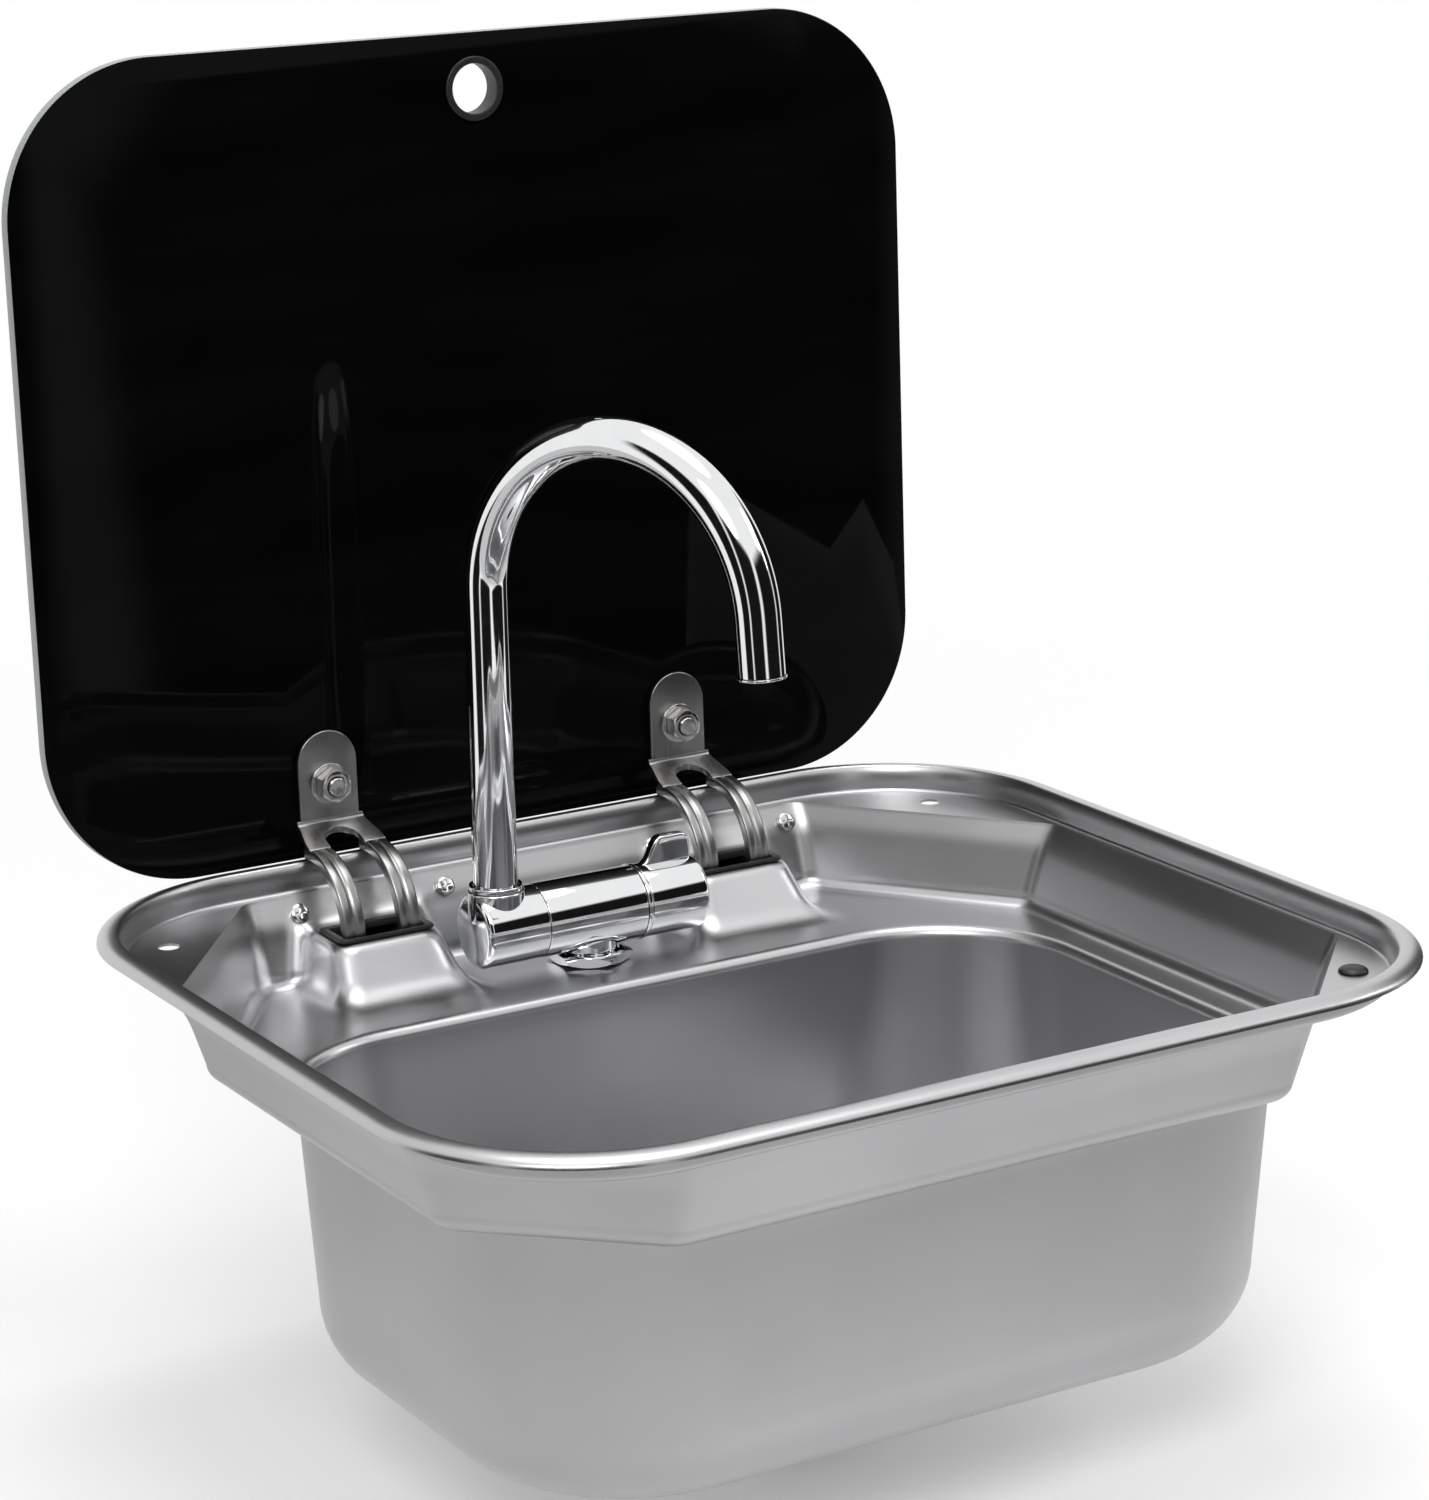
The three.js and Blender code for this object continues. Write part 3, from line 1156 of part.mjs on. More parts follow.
// What holds the tap on the shelf, and the two short pipes that bring the water.
function tapMounting() {
  const group = new THREE.Group();
  group.position.set(TAP_BASE_X, TAP_Y, 0);
  const collarTop = TAP_AXIS_Z - TAP_RADIUS - COLLAR_MARGIN;
  const collar = hexNut(COLLAR_FLATS, NECK_RADIUS + GAP, GAP - SHELF_DEPTH, collarTop);
  const gasketTop = SHELF_UNDER - GAP;
  const backingTop = gasketTop - TAP_GASKET - GAP;
  const nutTop = backingTop - BACKING - GAP;
  const bore = SHANK_RADIUS + GAP;
  group.add(
    named('tap_base_collar', collar, chrome()),
    named('tap_gasket', tube(BACKING_RADIUS, bore, gasketTop - TAP_GASKET, gasketTop), rubber()),
    named('tap_backing_washer', tube(BACKING_RADIUS, bore, backingTop - BACKING, backingTop), screwSteel()),
    named('tap_locknut', hexNut(LOCKNUT_FLATS, bore, nutTop - LOCKNUT, nutTop), screwSteel()),
  );
  for (const [name, side] of Object.entries(SIDES)) {
    const top = SHANK_FOOT + INLET_SOCKET - GAP;
    const tail = tube(INLET_RADIUS, INLET_BORE, top - INLET_LENGTH, top, Z, FINE_ROUND);
    group.add(placed(`inlet_tail_${name}`, tail, copper(), side * INLET_X));
  }
  return group;
}

// ---------- waste, drawn round the middle of the bowl's hole ----------

function wasteFlange() {
  const lip = WASTE_SEAT_RADIUS - WASTE_LIP_MARGIN;
  const inside = WASTE_CUP_RADIUS - WASTE_WALL;
  const bore = WASTE_SCREW_RADIUS + GAP;
  const cup = turned([
    [bore, WASTE_FLOOR],
    [WASTE_CUP_RADIUS, WASTE_FLOOR],
    [WASTE_CUP_RADIUS, WASTE_LIP_TOP - WASTE_WALL],
    [lip, WASTE_LIP_TOP - WASTE_WALL],
    [lip, WASTE_LIP_TOP],
    [inside, WASTE_LIP_TOP],
    [inside, WASTE_FLOOR + WASTE_WALL],
    [bore, WASTE_FLOOR + WASTE_WALL],
  ]);
  const holes = Array.from({ length: STRAINER_HOLES }, (_, i) => {
    const angle = ((i + 0.5) / STRAINER_HOLES) * 2 * Math.PI;
    const hole = rod(STRAINER_HOLE_RADIUS, WASTE_FLOOR - WASTE_WALL, WASTE_FLOOR + 2 * WASTE_WALL, Z, 12);
    return moved(hole, STRAINER_CIRCLE * Math.cos(angle), STRAINER_CIRCLE * Math.sin(angle), 0);
  });
  return cut(cup, ...holes);
}

function wasteScrew() {
  const seat = WASTE_FLOOR + WASTE_WALL + GAP;
  const foot = WASTE_BOSS_TOP - WASTE_BOSS_HEIGHT;
  const head = 2 * WASTE_SCREW_RADIUS;
  return turned([
    [0, foot],
    [WASTE_SCREW_RADIUS, foot],
    [WASTE_SCREW_RADIUS, seat],
    [head, seat],
    [head, seat + WASTE_SCREW_HEAD / 2],
    [WASTE_SCREW_RADIUS, seat + WASTE_SCREW_HEAD],
    [0, seat + WASTE_SCREW_HEAD],
  ], Z, FINE_ROUND);
}

function wasteGasket() {
  const top = WASTE_SEAT_Z - SHEET - GAP;
  return tube(WASTE_HOLE_RADIUS + WASTE_GASKET_WIDTH, WASTE_HOLE_RADIUS, top - WASTE_GASKET, top);
}

// Clamped under the bowl: flange, cup with a cross that takes the centre screw, cone and hose tail.
function wasteBody() {
  const cupFoot = WASTE_CLAMP_TOP - WASTE_BODY_DEPTH;
  const shell = turned([
    [WASTE_HOLE_RADIUS, WASTE_CLAMP_TOP],
    [WASTE_HOLE_RADIUS + WASTE_GASKET_WIDTH, WASTE_CLAMP_TOP],
    [WASTE_HOLE_RADIUS + WASTE_GASKET_WIDTH, WASTE_CLAMP_TOP - WASTE_CLAMP],
    [WASTE_BODY_RADIUS, WASTE_CLAMP_TOP - WASTE_CLAMP],
    [WASTE_BODY_RADIUS, cupFoot],
    [TAIL_RADIUS, WASTE_FOOT],
    [TAIL_RADIUS, WASTE_FOOT - TAIL_LENGTH],
    [TAIL_RADIUS - WASTE_BODY_WALL, WASTE_FOOT - TAIL_LENGTH],
    [TAIL_RADIUS - WASTE_BODY_WALL, WASTE_FOOT + WASTE_BODY_WALL],
    [WASTE_HOLE_RADIUS, cupFoot + WASTE_BODY_WALL],
  ]);
  const reach = WASTE_HOLE_RADIUS + WASTE_BODY_WALL / 2;
  const half = WASTE_RIB / 2;
  const foot = WASTE_BOSS_TOP - WASTE_BOSS_HEIGHT;
  const cross = [
    box([-reach, -half, foot], [reach, half, WASTE_BOSS_TOP]),
    box([-half, -reach, foot], [half, reach, WASTE_BOSS_TOP]),
    rod(2 * WASTE_SCREW_RADIUS, foot, WASTE_BOSS_TOP, Z, FINE_ROUND),
  ];
  const bore = rod(WASTE_SCREW_RADIUS + GAP, foot - GAP, WASTE_BOSS_TOP + GAP, Z, FINE_ROUND);
  return cut(joined(shell, ...cross), bore);
}

// Rubber plug that drops into the cup, with a pull to lift it by.
function drainPlug() {
  const seat = WASTE_LIP_TOP + GAP;
  const stem = WASTE_CUP_RADIUS - WASTE_WALL - GAP;
  const top = seat + PLUG_TOP;
  return turned([
    [0, seat - PLUG_DEPTH],
    [stem - PLUG_TAPER, seat - PLUG_DEPTH],
    [stem, seat],
    [stem + PLUG_OVERLAP, seat],
    [stem + PLUG_OVERLAP - PLUG_TAPER, top],
    [PULL_NECK_RADIUS, top],
    [PULL_NECK_RADIUS, top + PULL_HEIGHT / 2],
    [PULL_RADIUS, top + PULL_HEIGHT / 2 + PLUG_TAPER],
    [PULL_RADIUS, top + PULL_HEIGHT - PLUG_TAPER],
    [PULL_RADIUS - PLUG_TAPER, top + PULL_HEIGHT],
    [0, top + PULL_HEIGHT],
  ]);
}

function waste() {
  const group = new THREE.Group();
  group.position.y = BOWL_Y;
  group.add(
    named('waste_flange', wasteFlange(), steel()),
    named('waste_screw', wasteScrew(), screwSteel()),
    named('waste_gasket', wasteGasket(), rubber()),
    named('waste_body', wasteBody(), greyPlastic()),
    named('drain_plug', drainPlug(), rubber()),
  );
  return group;
}

// ---------- assembly ----------

function named(name, geometry, material) {
  const mesh = new THREE.Mesh(tidy(geometry), material);
  mesh.name = name;
  return mesh;
}

function placed(name, geometry, material, x, z = 0) {
  const mesh = named(name, geometry, material);
  mesh.position.set(x, 0, z);
  return mesh;
}

// Basin, and what is fixed to it beside tap and waste.
function pressing() {
  const group = new THREE.Group();
  group.add(named('basin', basin(), steel()), named('rim_seal', rimSeal(), rubber()));
  for (const [name, side] of Object.entries(SIDES)) {
    const bumper = placed(`lid_bumper_${name}`, lidBumper(), rubber(), side * LEDGE_HOLE_X);
    bumper.position.y = -LEDGE_HOLE_Y;
    const pin = placed(`hinge_pin_${name}`, hingePin(), screwSteel(), side * HINGE_X, PIVOT_Z);
    pin.position.y = PIVOT_Y;
    group.add(
      bumper,
      pin,
      placed(`hinge_housing_${name}`, hingeHousing(), blackPlastic(), side * HINGE_X),
      placed(`slot_bezel_${name}`, slotBezel(), blackPlastic(), side * HINGE_X),
    );
  }
  screwPlaces().forEach((x, i) => {
    group.add(named(`housing_screw_${i + 1}`, onBackWall(housingScrew(), x), screwSteel()));
  });
  return group;
}

const sink = new THREE.Group();
sink.add(pressing(), lid(), tap(), tapMounting(), waste());

export default sink;
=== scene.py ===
# %% [markdown]
# A drop-in stainless sink for a camper worktop. It has a black glass lid on two hinges and a chrome
# tap that folds down under the lid. The imported CAD model is the fixed frame: every piece made here
# is drawn on the same sizes, in the same place, and rides on one of its moving bodies.
# We start by loading that frame, and keep its box, under which the floor is laid.

import math

import bmesh
import bpy
import numpy as np
from mathutils import Matrix, Vector


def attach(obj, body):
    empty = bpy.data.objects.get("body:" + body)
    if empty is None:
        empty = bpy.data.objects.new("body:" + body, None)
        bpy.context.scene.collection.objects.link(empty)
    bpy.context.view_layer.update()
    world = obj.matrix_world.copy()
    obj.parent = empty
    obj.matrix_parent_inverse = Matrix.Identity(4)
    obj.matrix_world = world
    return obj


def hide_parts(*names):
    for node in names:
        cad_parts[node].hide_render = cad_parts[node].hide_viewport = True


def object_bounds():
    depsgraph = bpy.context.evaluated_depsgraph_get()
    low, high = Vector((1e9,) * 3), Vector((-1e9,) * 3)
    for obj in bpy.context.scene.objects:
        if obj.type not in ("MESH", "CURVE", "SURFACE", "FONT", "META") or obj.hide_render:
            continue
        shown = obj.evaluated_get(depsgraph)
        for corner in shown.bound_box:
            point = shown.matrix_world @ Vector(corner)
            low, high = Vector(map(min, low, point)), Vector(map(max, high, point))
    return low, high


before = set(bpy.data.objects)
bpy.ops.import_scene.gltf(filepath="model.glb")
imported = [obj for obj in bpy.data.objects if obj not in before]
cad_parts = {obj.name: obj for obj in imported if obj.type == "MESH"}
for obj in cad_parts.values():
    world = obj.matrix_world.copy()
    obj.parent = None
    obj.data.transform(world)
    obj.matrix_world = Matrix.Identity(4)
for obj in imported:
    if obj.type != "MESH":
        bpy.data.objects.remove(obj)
CAD_BOX = [list(corner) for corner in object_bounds()]
print("CAD box in metres:", [[round(v, 4) for v in corner] for corner in CAD_BOX])

# %% [markdown]
# The camera comes first. It could be turned by eye until the picture looks right, but a pinhole
# fitted to known corners of the rim and lid is exact. Its angles say from where it looks, and the
# lens follows from the focal length.
# The sizes of the sink are in millimetres, and MM turns them into Blender's metres.

# %% Place the camera
MM = 0.001
IMAGE_LONG_SIDE = 1500
FOCAL_LENGTH = 4251.04  # in pixels of that side
SENSOR = 36
VIEW_AZIMUTH = math.radians(-30.93)  # from straight in front, towards the left
VIEW_ELEVATION = math.radians(15.189)
VIEW_ROLL = math.radians(-1.153)
ORIGIN_RIGHT = 13.206  # where the origin lies from the middle of the picture
ORIGIN_UP = -70.919
VIEW_DISTANCE = 1578.28


def place_camera():
    back = Vector((
        math.sin(VIEW_AZIMUTH) * math.cos(VIEW_ELEVATION),
        -math.cos(VIEW_AZIMUTH) * math.cos(VIEW_ELEVATION),
        math.sin(VIEW_ELEVATION),
    ))
    level = Vector((0, 0, 1)).cross(back).normalized()
    upright = back.cross(level)
    right = level * math.cos(VIEW_ROLL) + upright * math.sin(VIEW_ROLL)
    up = upright * math.cos(VIEW_ROLL) - level * math.sin(VIEW_ROLL)
    place = (back * VIEW_DISTANCE - right * ORIGIN_RIGHT - up * ORIGIN_UP) * MM
    camera = bpy.data.objects.new("photo_camera", bpy.data.cameras.new("photo_camera"))
    bpy.context.scene.collection.objects.link(camera)
    camera.data.sensor_width = SENSOR
    camera.data.lens = FOCAL_LENGTH * SENSOR / IMAGE_LONG_SIDE
    camera.data.clip_end = 50
    turn = Matrix((right, up, back)).transposed().to_4x4()
    camera.matrix_world = Matrix.Translation(place) @ turn
    bpy.context.scene.camera = camera
    return camera


camera = place_camera()
print("camera at", [round(v, 3) for v in camera.matrix_world.translation], "lens", round(camera.data.lens, 2))

# %% [markdown]
# Floor, cards and metals are all small trees of nodes, and Blender has no short way to write one. A few
# helpers make them readable: one that adds a node, one that fades a value in or out, one that mixes two
# shaders. The eye and the lamps may also see different things: light path nodes tell rays apart.

# %% Tools for the studio
def node_in(tree, kind, **values):
    node = tree.nodes.new(kind)
    for name, value in values.items():
        setattr(node, name, value)
    return node


def seen_directly(tree):
    """1 for rays from the eye, from a mirror or through glass, and 0 for rays that light the object."""
    path = node_in(tree, "ShaderNodeLightPath")
    first = node_in(tree, "ShaderNodeMath", operation="MAXIMUM")
    both = node_in(tree, "ShaderNodeMath", operation="MAXIMUM")
    tree.links.new(path.outputs["Is Camera Ray"], first.inputs[0])
    tree.links.new(path.outputs["Is Glossy Ray"], first.inputs[1])
    tree.links.new(first.outputs[0], both.inputs[0])
    tree.links.new(path.outputs["Is Transmission Ray"], both.inputs[1])
    return both.outputs[0]


def bare_finish(name):
    """A material with an empty tree."""
    finish = bpy.data.materials.new(name)
    finish.use_nodes = True
    finish.node_tree.nodes.clear()
    return finish


def off_centre(tree):
    """How far a point lies from the middle of its own object."""
    place = node_in(tree, "ShaderNodeTexCoord")
    distance = node_in(tree, "ShaderNodeVectorMath", operation="LENGTH")
    tree.links.new(place.outputs["Object"], distance.inputs[0])
    return distance.outputs["Value"]


def faded(tree, value, start, end, full=1.0):
    """0 where a value is at the start, rising smoothly to full at the end."""
    fade = node_in(tree, "ShaderNodeMapRange", interpolation_type="SMOOTHSTEP")
    fade.inputs["From Min"].default_value = start
    fade.inputs["From Max"].default_value = end
    fade.inputs["To Max"].default_value = full
    tree.links.new(value, fade.inputs["Value"])
    return fade.outputs["Result"]


def mixed(tree, share, first, second):
    """Shows the first shader at share 0 and the second at share 1."""
    pick = node_in(tree, "ShaderNodeMixShader")
    out = node_in(tree, "ShaderNodeOutputMaterial")
    tree.links.new(share, pick.inputs["Fac"])
    tree.links.new(first.outputs[0], pick.inputs[1])
    tree.links.new(second.outputs[0], pick.inputs[2])
    tree.links.new(pick.outputs[0], out.inputs["Surface"])


print("studio tools ready")

# %% [markdown]
# The studio is a pale floor under white air. A backdrop that curves up behind the set would do as
# well, but it would stand in the way of a camera on the other sides. So the floor is one large disc
# that keeps the sink's shadow near the middle and turns into plain white further out, and the world
# itself is white to the eye and dimmer as a light.

# %% Floor and air
FLOOR_DROP = 0.4  # millimetres under the lowest point of the object
FLOOR_RADIUS = 9.0  # in metres, as the other sizes of the studio
FLOOR_GREY = 0.86
FLOOR_LIFT = 0.22  # light of its own that the floor shows to the eye alone
SHADE_START = 0.25
SHADE_END = 1.6  # from here on the floor is plain white
AIR_LIGHT = 0.5  # how strongly the white air lights the object


def floor_finish():
    finish = bare_finish("pale_floor")
    tree = finish.node_tree
    shaded = node_in(tree, "ShaderNodeBsdfDiffuse")
    shaded.inputs["Color"].default_value = (FLOOR_GREY, FLOOR_GREY, FLOOR_GREY, 1)
    lifted = node_in(tree, "ShaderNodeEmission")
    lift = node_in(tree, "ShaderNodeMath", operation="MULTIPLY")
    lift.inputs[1].default_value = FLOOR_LIFT
    near = node_in(tree, "ShaderNodeAddShader")
    white = node_in(tree, "ShaderNodeEmission")
    seen = seen_directly(tree)
    tree.links.new(seen, lift.inputs[0])
    tree.links.new(lift.outputs[0], lifted.inputs["Strength"])
    tree.links.new(shaded.outputs[0], near.inputs[0])
    tree.links.new(lifted.outputs[0], near.inputs[1])
    tree.links.new(seen, white.inputs["Strength"])
    mixed(tree, faded(tree, off_centre(tree), SHADE_START, SHADE_END), near, white)
    return finish


def laid_disc(name, radius, drop, finish):
    """A flat disc, a drop in millimetres under the object."""
    disc = bmesh.new()
    bmesh.ops.create_circle(disc, cap_ends=True, segments=96, radius=radius)
    mesh = bpy.data.meshes.new(name)
    disc.to_mesh(mesh)
    disc.free()
    mesh.materials.append(finish)
    laid = bpy.data.objects.new(name, mesh)
    bpy.context.scene.collection.objects.link(laid)
    laid.location.z = CAD_BOX[0][2] - drop * MM
    return laid


def fill_air():
    world = bpy.data.worlds.new("white_air")
    bpy.context.scene.world = world
    world.use_nodes = True
    tree = world.node_tree
    air = tree.nodes["Background"]
    air.inputs["Color"].default_value = (1, 1, 1, 1)
    strength = node_in(tree, "ShaderNodeMapRange")
    strength.inputs["To Min"].default_value = AIR_LIGHT
    strength.inputs["To Max"].default_value = 1.0
    tree.links.new(seen_directly(tree), strength.inputs["Value"])
    tree.links.new(strength.outputs["Result"], air.inputs["Strength"])
    return world


floor = laid_disc("floor", FLOOR_RADIUS, FLOOR_DROP, floor_finish())
fill_air()
bpy.context.scene.view_settings.view_transform = "Standard"
print("floor and air ready")

# %% [markdown]
# Three large soft lamps light the set from above, as softboxes do: the largest from the front left, one
# overhead and a weak one from the right. Small bright lamps would give hard shadows and glaring dots on
# the steel. The air round the set does the rest, so their power stays low and pale surfaces don't clip.

# %% Lamps
LAMPS = {  # place, size in metres, power in watts
    "key_softbox": ((-1.3, -1.5, 1.7), 1.3, 24),
    "top_softbox": ((0.2, 0.1, 2.0), 1.4, 15),
    "side_softbox": ((1.8, -0.6, 1.0), 1.0, 8),
}
LAMP_TARGET = (0, 0, 0.05)


def aimed(place, target):
    """The turn that points a lamp's or a card's front at a target."""
    return (Vector(target) - Vector(place)).to_track_quat("-Z", "Y").to_matrix().to_4x4()


def hang_lamp(name, place, size, power):
    lamp = bpy.data.objects.new(name, bpy.data.lights.new(name, "AREA"))
    bpy.context.scene.collection.objects.link(lamp)
    lamp.data.shape = "DISK"
    lamp.data.size = size
    lamp.data.energy = power
    lamp.matrix_world = Matrix.Translation(place) @ aimed(place, LAMP_TARGET)
    return lamp


for name, (place, size, power) in LAMPS.items():
    hang_lamp(name, place, size, power)
print(len(LAMPS), "lamps")

# %% [markdown]
# Shiny metal shows what stands around it, so a photographer adds black cards beside the set: they draw
# the dark streaks on chrome and keep black glass black. A dark mat on the floor greys the outside of
# the bowl in the same way. Cards and mat are seen only in reflections here. They throw no shadow, take
# no light from the object and never hide a view. Their edges fade, or the lid would mirror rectangles.

# %% Cards and mat
CARD_RING = 0.85  # metres from the middle to the cards
CARD_MIDDLE = 0.14
CARD_SOLID = 0.36  # full black up to this share of the card's side from its middle
CARDS = {  # where it stands round the sink in degrees, width and height in metres
    "left_card": (184, 0.62, 0.95),
    "left_front_card": (234, 0.98, 0.95),
    "right_front_card": (307, 1.36, 0.95),
    "right_card": (5, 0.60, 0.95),
}
CARD_BLACK = 0.012
MAT_RADIUS = 1.0
MAT_FADE_IN = (0.10, 0.45)  # distances from the middle
MAT_FADE_OUT = (0.95, 0.75)
MAT_COVER = 0.42


def only_mirrored(thing):
    """A part of the studio that shows in mirror images alone."""
    thing.visible_camera = False
    thing.visible_diffuse = False
    thing.visible_shadow = False


def black_where(tree, cover):
    """Black at cover 1, and clear at cover 0."""
    clear = node_in(tree, "ShaderNodeBsdfTransparent")
    black = node_in(tree, "ShaderNodeBsdfDiffuse")
    black.inputs["Color"].default_value = (CARD_BLACK, CARD_BLACK, CARD_BLACK, 1)
    mixed(tree, cover, clear, black)


def card_finish():
    """Black in the middle and clear at the edges, so that its mirror image has no hard outline."""
    finish = bare_finish("black_card")
    tree = finish.node_tree
    place = node_in(tree, "ShaderNodeTexCoord")
    parts = node_in(tree, "ShaderNodeSeparateXYZ")
    cover = node_in(tree, "ShaderNodeMath", operation="MULTIPLY")
    tree.links.new(place.outputs["Generated"], parts.inputs[0])
    for i, axis in enumerate("XY"):
        off_middle = node_in(tree, "ShaderNodeMath", operation="SUBTRACT")
        off_middle.inputs[1].default_value = 0.5
        spread = node_in(tree, "ShaderNodeMath", operation="ABSOLUTE")
        tree.links.new(parts.outputs[axis], off_middle.inputs[0])
        tree.links.new(off_middle.outputs[0], spread.inputs[0])
        tree.links.new(faded(tree, spread.outputs[0], 0.5, CARD_SOLID), cover.inputs[i])
    black_where(tree, cover.outputs[0])
    return finish


def mat_finish():
    """Black in a wide ring, and clear under the sink and at the mat's edge."""
    finish = bare_finish("dark_mat")
    tree = finish.node_tree
    distance = off_centre(tree)
    cover = node_in(tree, "ShaderNodeMath", operation="MULTIPLY")
    tree.links.new(faded(tree, distance, *MAT_FADE_IN, MAT_COVER), cover.inputs[0])
    tree.links.new(faded(tree, distance, *MAT_FADE_OUT), cover.inputs[1])
    black_where(tree, cover.outputs[0])
    return finish


def stand_card(name, angle, width, height, finish):
    angle = math.radians(angle)
    place = (CARD_RING * math.cos(angle), CARD_RING * math.sin(angle), CARD_MIDDLE)
    mesh = bpy.data.meshes.new(name)
    corners = [(x * width / 2, y * height / 2, 0) for x, y in ((-1, -1), (1, -1), (1, 1), (-1, 1))]
    mesh.from_pydata(corners, [], [(0, 1, 2, 3)])
    mesh.materials.append(finish)
    card = bpy.data.objects.new(name, mesh)
    bpy.context.scene.collection.objects.link(card)
    card.matrix_world = Matrix.Translation(place) @ aimed(place, (0, 0, CARD_MIDDLE))
    only_mirrored(card)
    return card


black_card = card_finish()
only_mirrored(laid_disc("dark_mat", MAT_RADIUS, FLOOR_DROP / 2, mat_finish()))
for name, (angle, width, height) in CARDS.items():
    stand_card(name, angle, width, height, black_card)
print(len(CARDS), "cards and a mat")

# %% [markdown]
# A finish is a small tree of nodes: one noise pattern that follows the metal's brushing or the
# plastic's grain, and the places where it acts. Photographs of steel could be wrapped round the
# pieces, but noise has no seams, stays sharp close up and needs no unwrapping. The pattern is read in
# the piece's own space, so it moves with the piece. These helpers make the tree.

# %% Tools for finishes
NOISE_LOW = 0.3  # nearly all values of the noise lie between these two
NOISE_HIGH = 0.7


def plain_finish(name, colour, roughness, metallic=0.0, ior=1.45):
    finish = bpy.data.materials.new(name)
    finish.use_nodes = True
    shader = finish.node_tree.nodes["Principled BSDF"]
    shader.inputs["Base Color"].default_value = (*colour, 1)
    shader.inputs["Roughness"].default_value = roughness
    shader.inputs["Metallic"].default_value = metallic
    shader.inputs["IOR"].default_value = ior
    return finish


def shader_of(finish):
    return finish.node_tree.nodes["Principled BSDF"]


def grain(finish, scale, stretch=(1, 1, 1), detail=4, sharpness=0.5):
    """A noise pattern in the piece's own space. Scale counts its spots per metre."""
    tree = finish.node_tree
    place = node_in(tree, "ShaderNodeTexCoord")
    lay = node_in(tree, "ShaderNodeMapping")
    lay.inputs["Scale"].default_value = stretch
    noise = node_in(tree, "ShaderNodeTexNoise")
    noise.inputs["Scale"].default_value = scale
    noise.inputs["Detail"].default_value = detail
    noise.inputs["Roughness"].default_value = sharpness
    tree.links.new(place.outputs["Object"], lay.inputs["Vector"])
    tree.links.new(lay.outputs["Vector"], noise.inputs["Vector"])
    return noise.outputs["Fac"]


def varied(finish, pattern, socket, low, high):
    """Lets a pattern move a number of the finish between two values."""
    tree = finish.node_tree
    spread = node_in(tree, "ShaderNodeMapRange")
    spread.inputs["From Min"].default_value = NOISE_LOW
    spread.inputs["From Max"].default_value = NOISE_HIGH
    spread.inputs["To Min"].default_value = low
    spread.inputs["To Max"].default_value = high
    tree.links.new(pattern, spread.inputs["Value"])
    tree.links.new(spread.outputs["Result"], shader_of(finish).inputs[socket])


def tinted(finish, pattern, dark, light):
    """Lets a pattern move the colour of the finish between two colours."""
    tree = finish.node_tree
    ramp = node_in(tree, "ShaderNodeValToRGB")
    ramp.color_ramp.elements[0].position = NOISE_LOW
    ramp.color_ramp.elements[0].color = (*dark, 1)
    ramp.color_ramp.elements[1].position = NOISE_HIGH
    ramp.color_ramp.elements[1].color = (*light, 1)
    tree.links.new(pattern, ramp.inputs["Fac"])
    tree.links.new(ramp.outputs["Color"], shader_of(finish).inputs["Base Color"])


def raised(finish, pattern, height):
    """Lets a pattern raise the surface, by a height in millimetres. Further calls add to it."""
    tree = finish.node_tree
    bump = node_in(tree, "ShaderNodeBump")
    bump.inputs["Strength"].default_value = 1
    bump.inputs["Distance"].default_value = height * MM
    socket = shader_of(finish).inputs["Normal"]
    if socket.is_linked:
        tree.links.new(socket.links[0].from_socket, bump.inputs["Normal"])
    tree.links.new(pattern, bump.inputs["Height"])
    tree.links.new(bump.outputs["Normal"], socket)


print("finish tools ready")

# %% [markdown]
# Stainless sheet for a sink is ground with a fine belt before it is pressed. Pressing blurs the
# marks, so the basin looks like satin: wide soft highlights, with faint lines only close up. The
# hinge leaves are left with the coarse marks of the strip they were cut from, and are darker. Screws
# and nuts are plain bright steel with small dull spots.

# %% Steel finishes
def basin_steel():
    finish = plain_finish("basin_steel", (0.52, 0.52, 0.53), 0.3, metallic=1)
    belt = grain(finish, 9, (1, 220, 220), detail=4, sharpness=0.5)
    cloud = grain(finish, 14, detail=3)
    tinted(finish, cloud, (0.50, 0.50, 0.51), (0.54, 0.54, 0.55))
    varied(finish, belt, "Roughness", 0.28, 0.34)
    raised(finish, belt, 0.0006)
    return finish


def hinge_steel():
    finish = plain_finish("hinge_steel", (0.34, 0.335, 0.33), 0.3, metallic=1)
    strip = grain(finish, 22, (70, 8, 1), detail=4, sharpness=0.5)
    tinted(finish, strip, (0.345, 0.34, 0.335), (0.37, 0.365, 0.36))
    varied(finish, strip, "Roughness", 0.27, 0.32)
    raised(finish, strip, 0.0005)
    return finish


def screw_steel():
    finish = plain_finish("screw_steel", (0.66, 0.65, 0.64), 0.18, metallic=1)
    spots = grain(finish, 420, detail=3, sharpness=0.5)
    tinted(finish, spots, (0.60, 0.59, 0.58), (0.70, 0.69, 0.68))
    varied(finish, spots, "Roughness", 0.14, 0.22)
    raised(finish, spots, 0.002)
    return finish


BASIN_STEEL, HINGE_STEEL, SCREW_STEEL = basin_steel(), hinge_steel(), screw_steel()
print("steels:", BASIN_STEEL.name, HINGE_STEEL.name, SCREW_STEEL.name)

# %% [markdown]
# Chrome is a mirror with hardly a mark on it: only a faint haze from wiping. The lid is tempered glass,
# enamelled black on one side. It is nearly as smooth, but it mirrors only a few hundredths of the
# light, and its ground edge is dull and pale. The small parts round it are moulded: plastic with a
# fine spark-eroded grain, and softer, duller rubber.

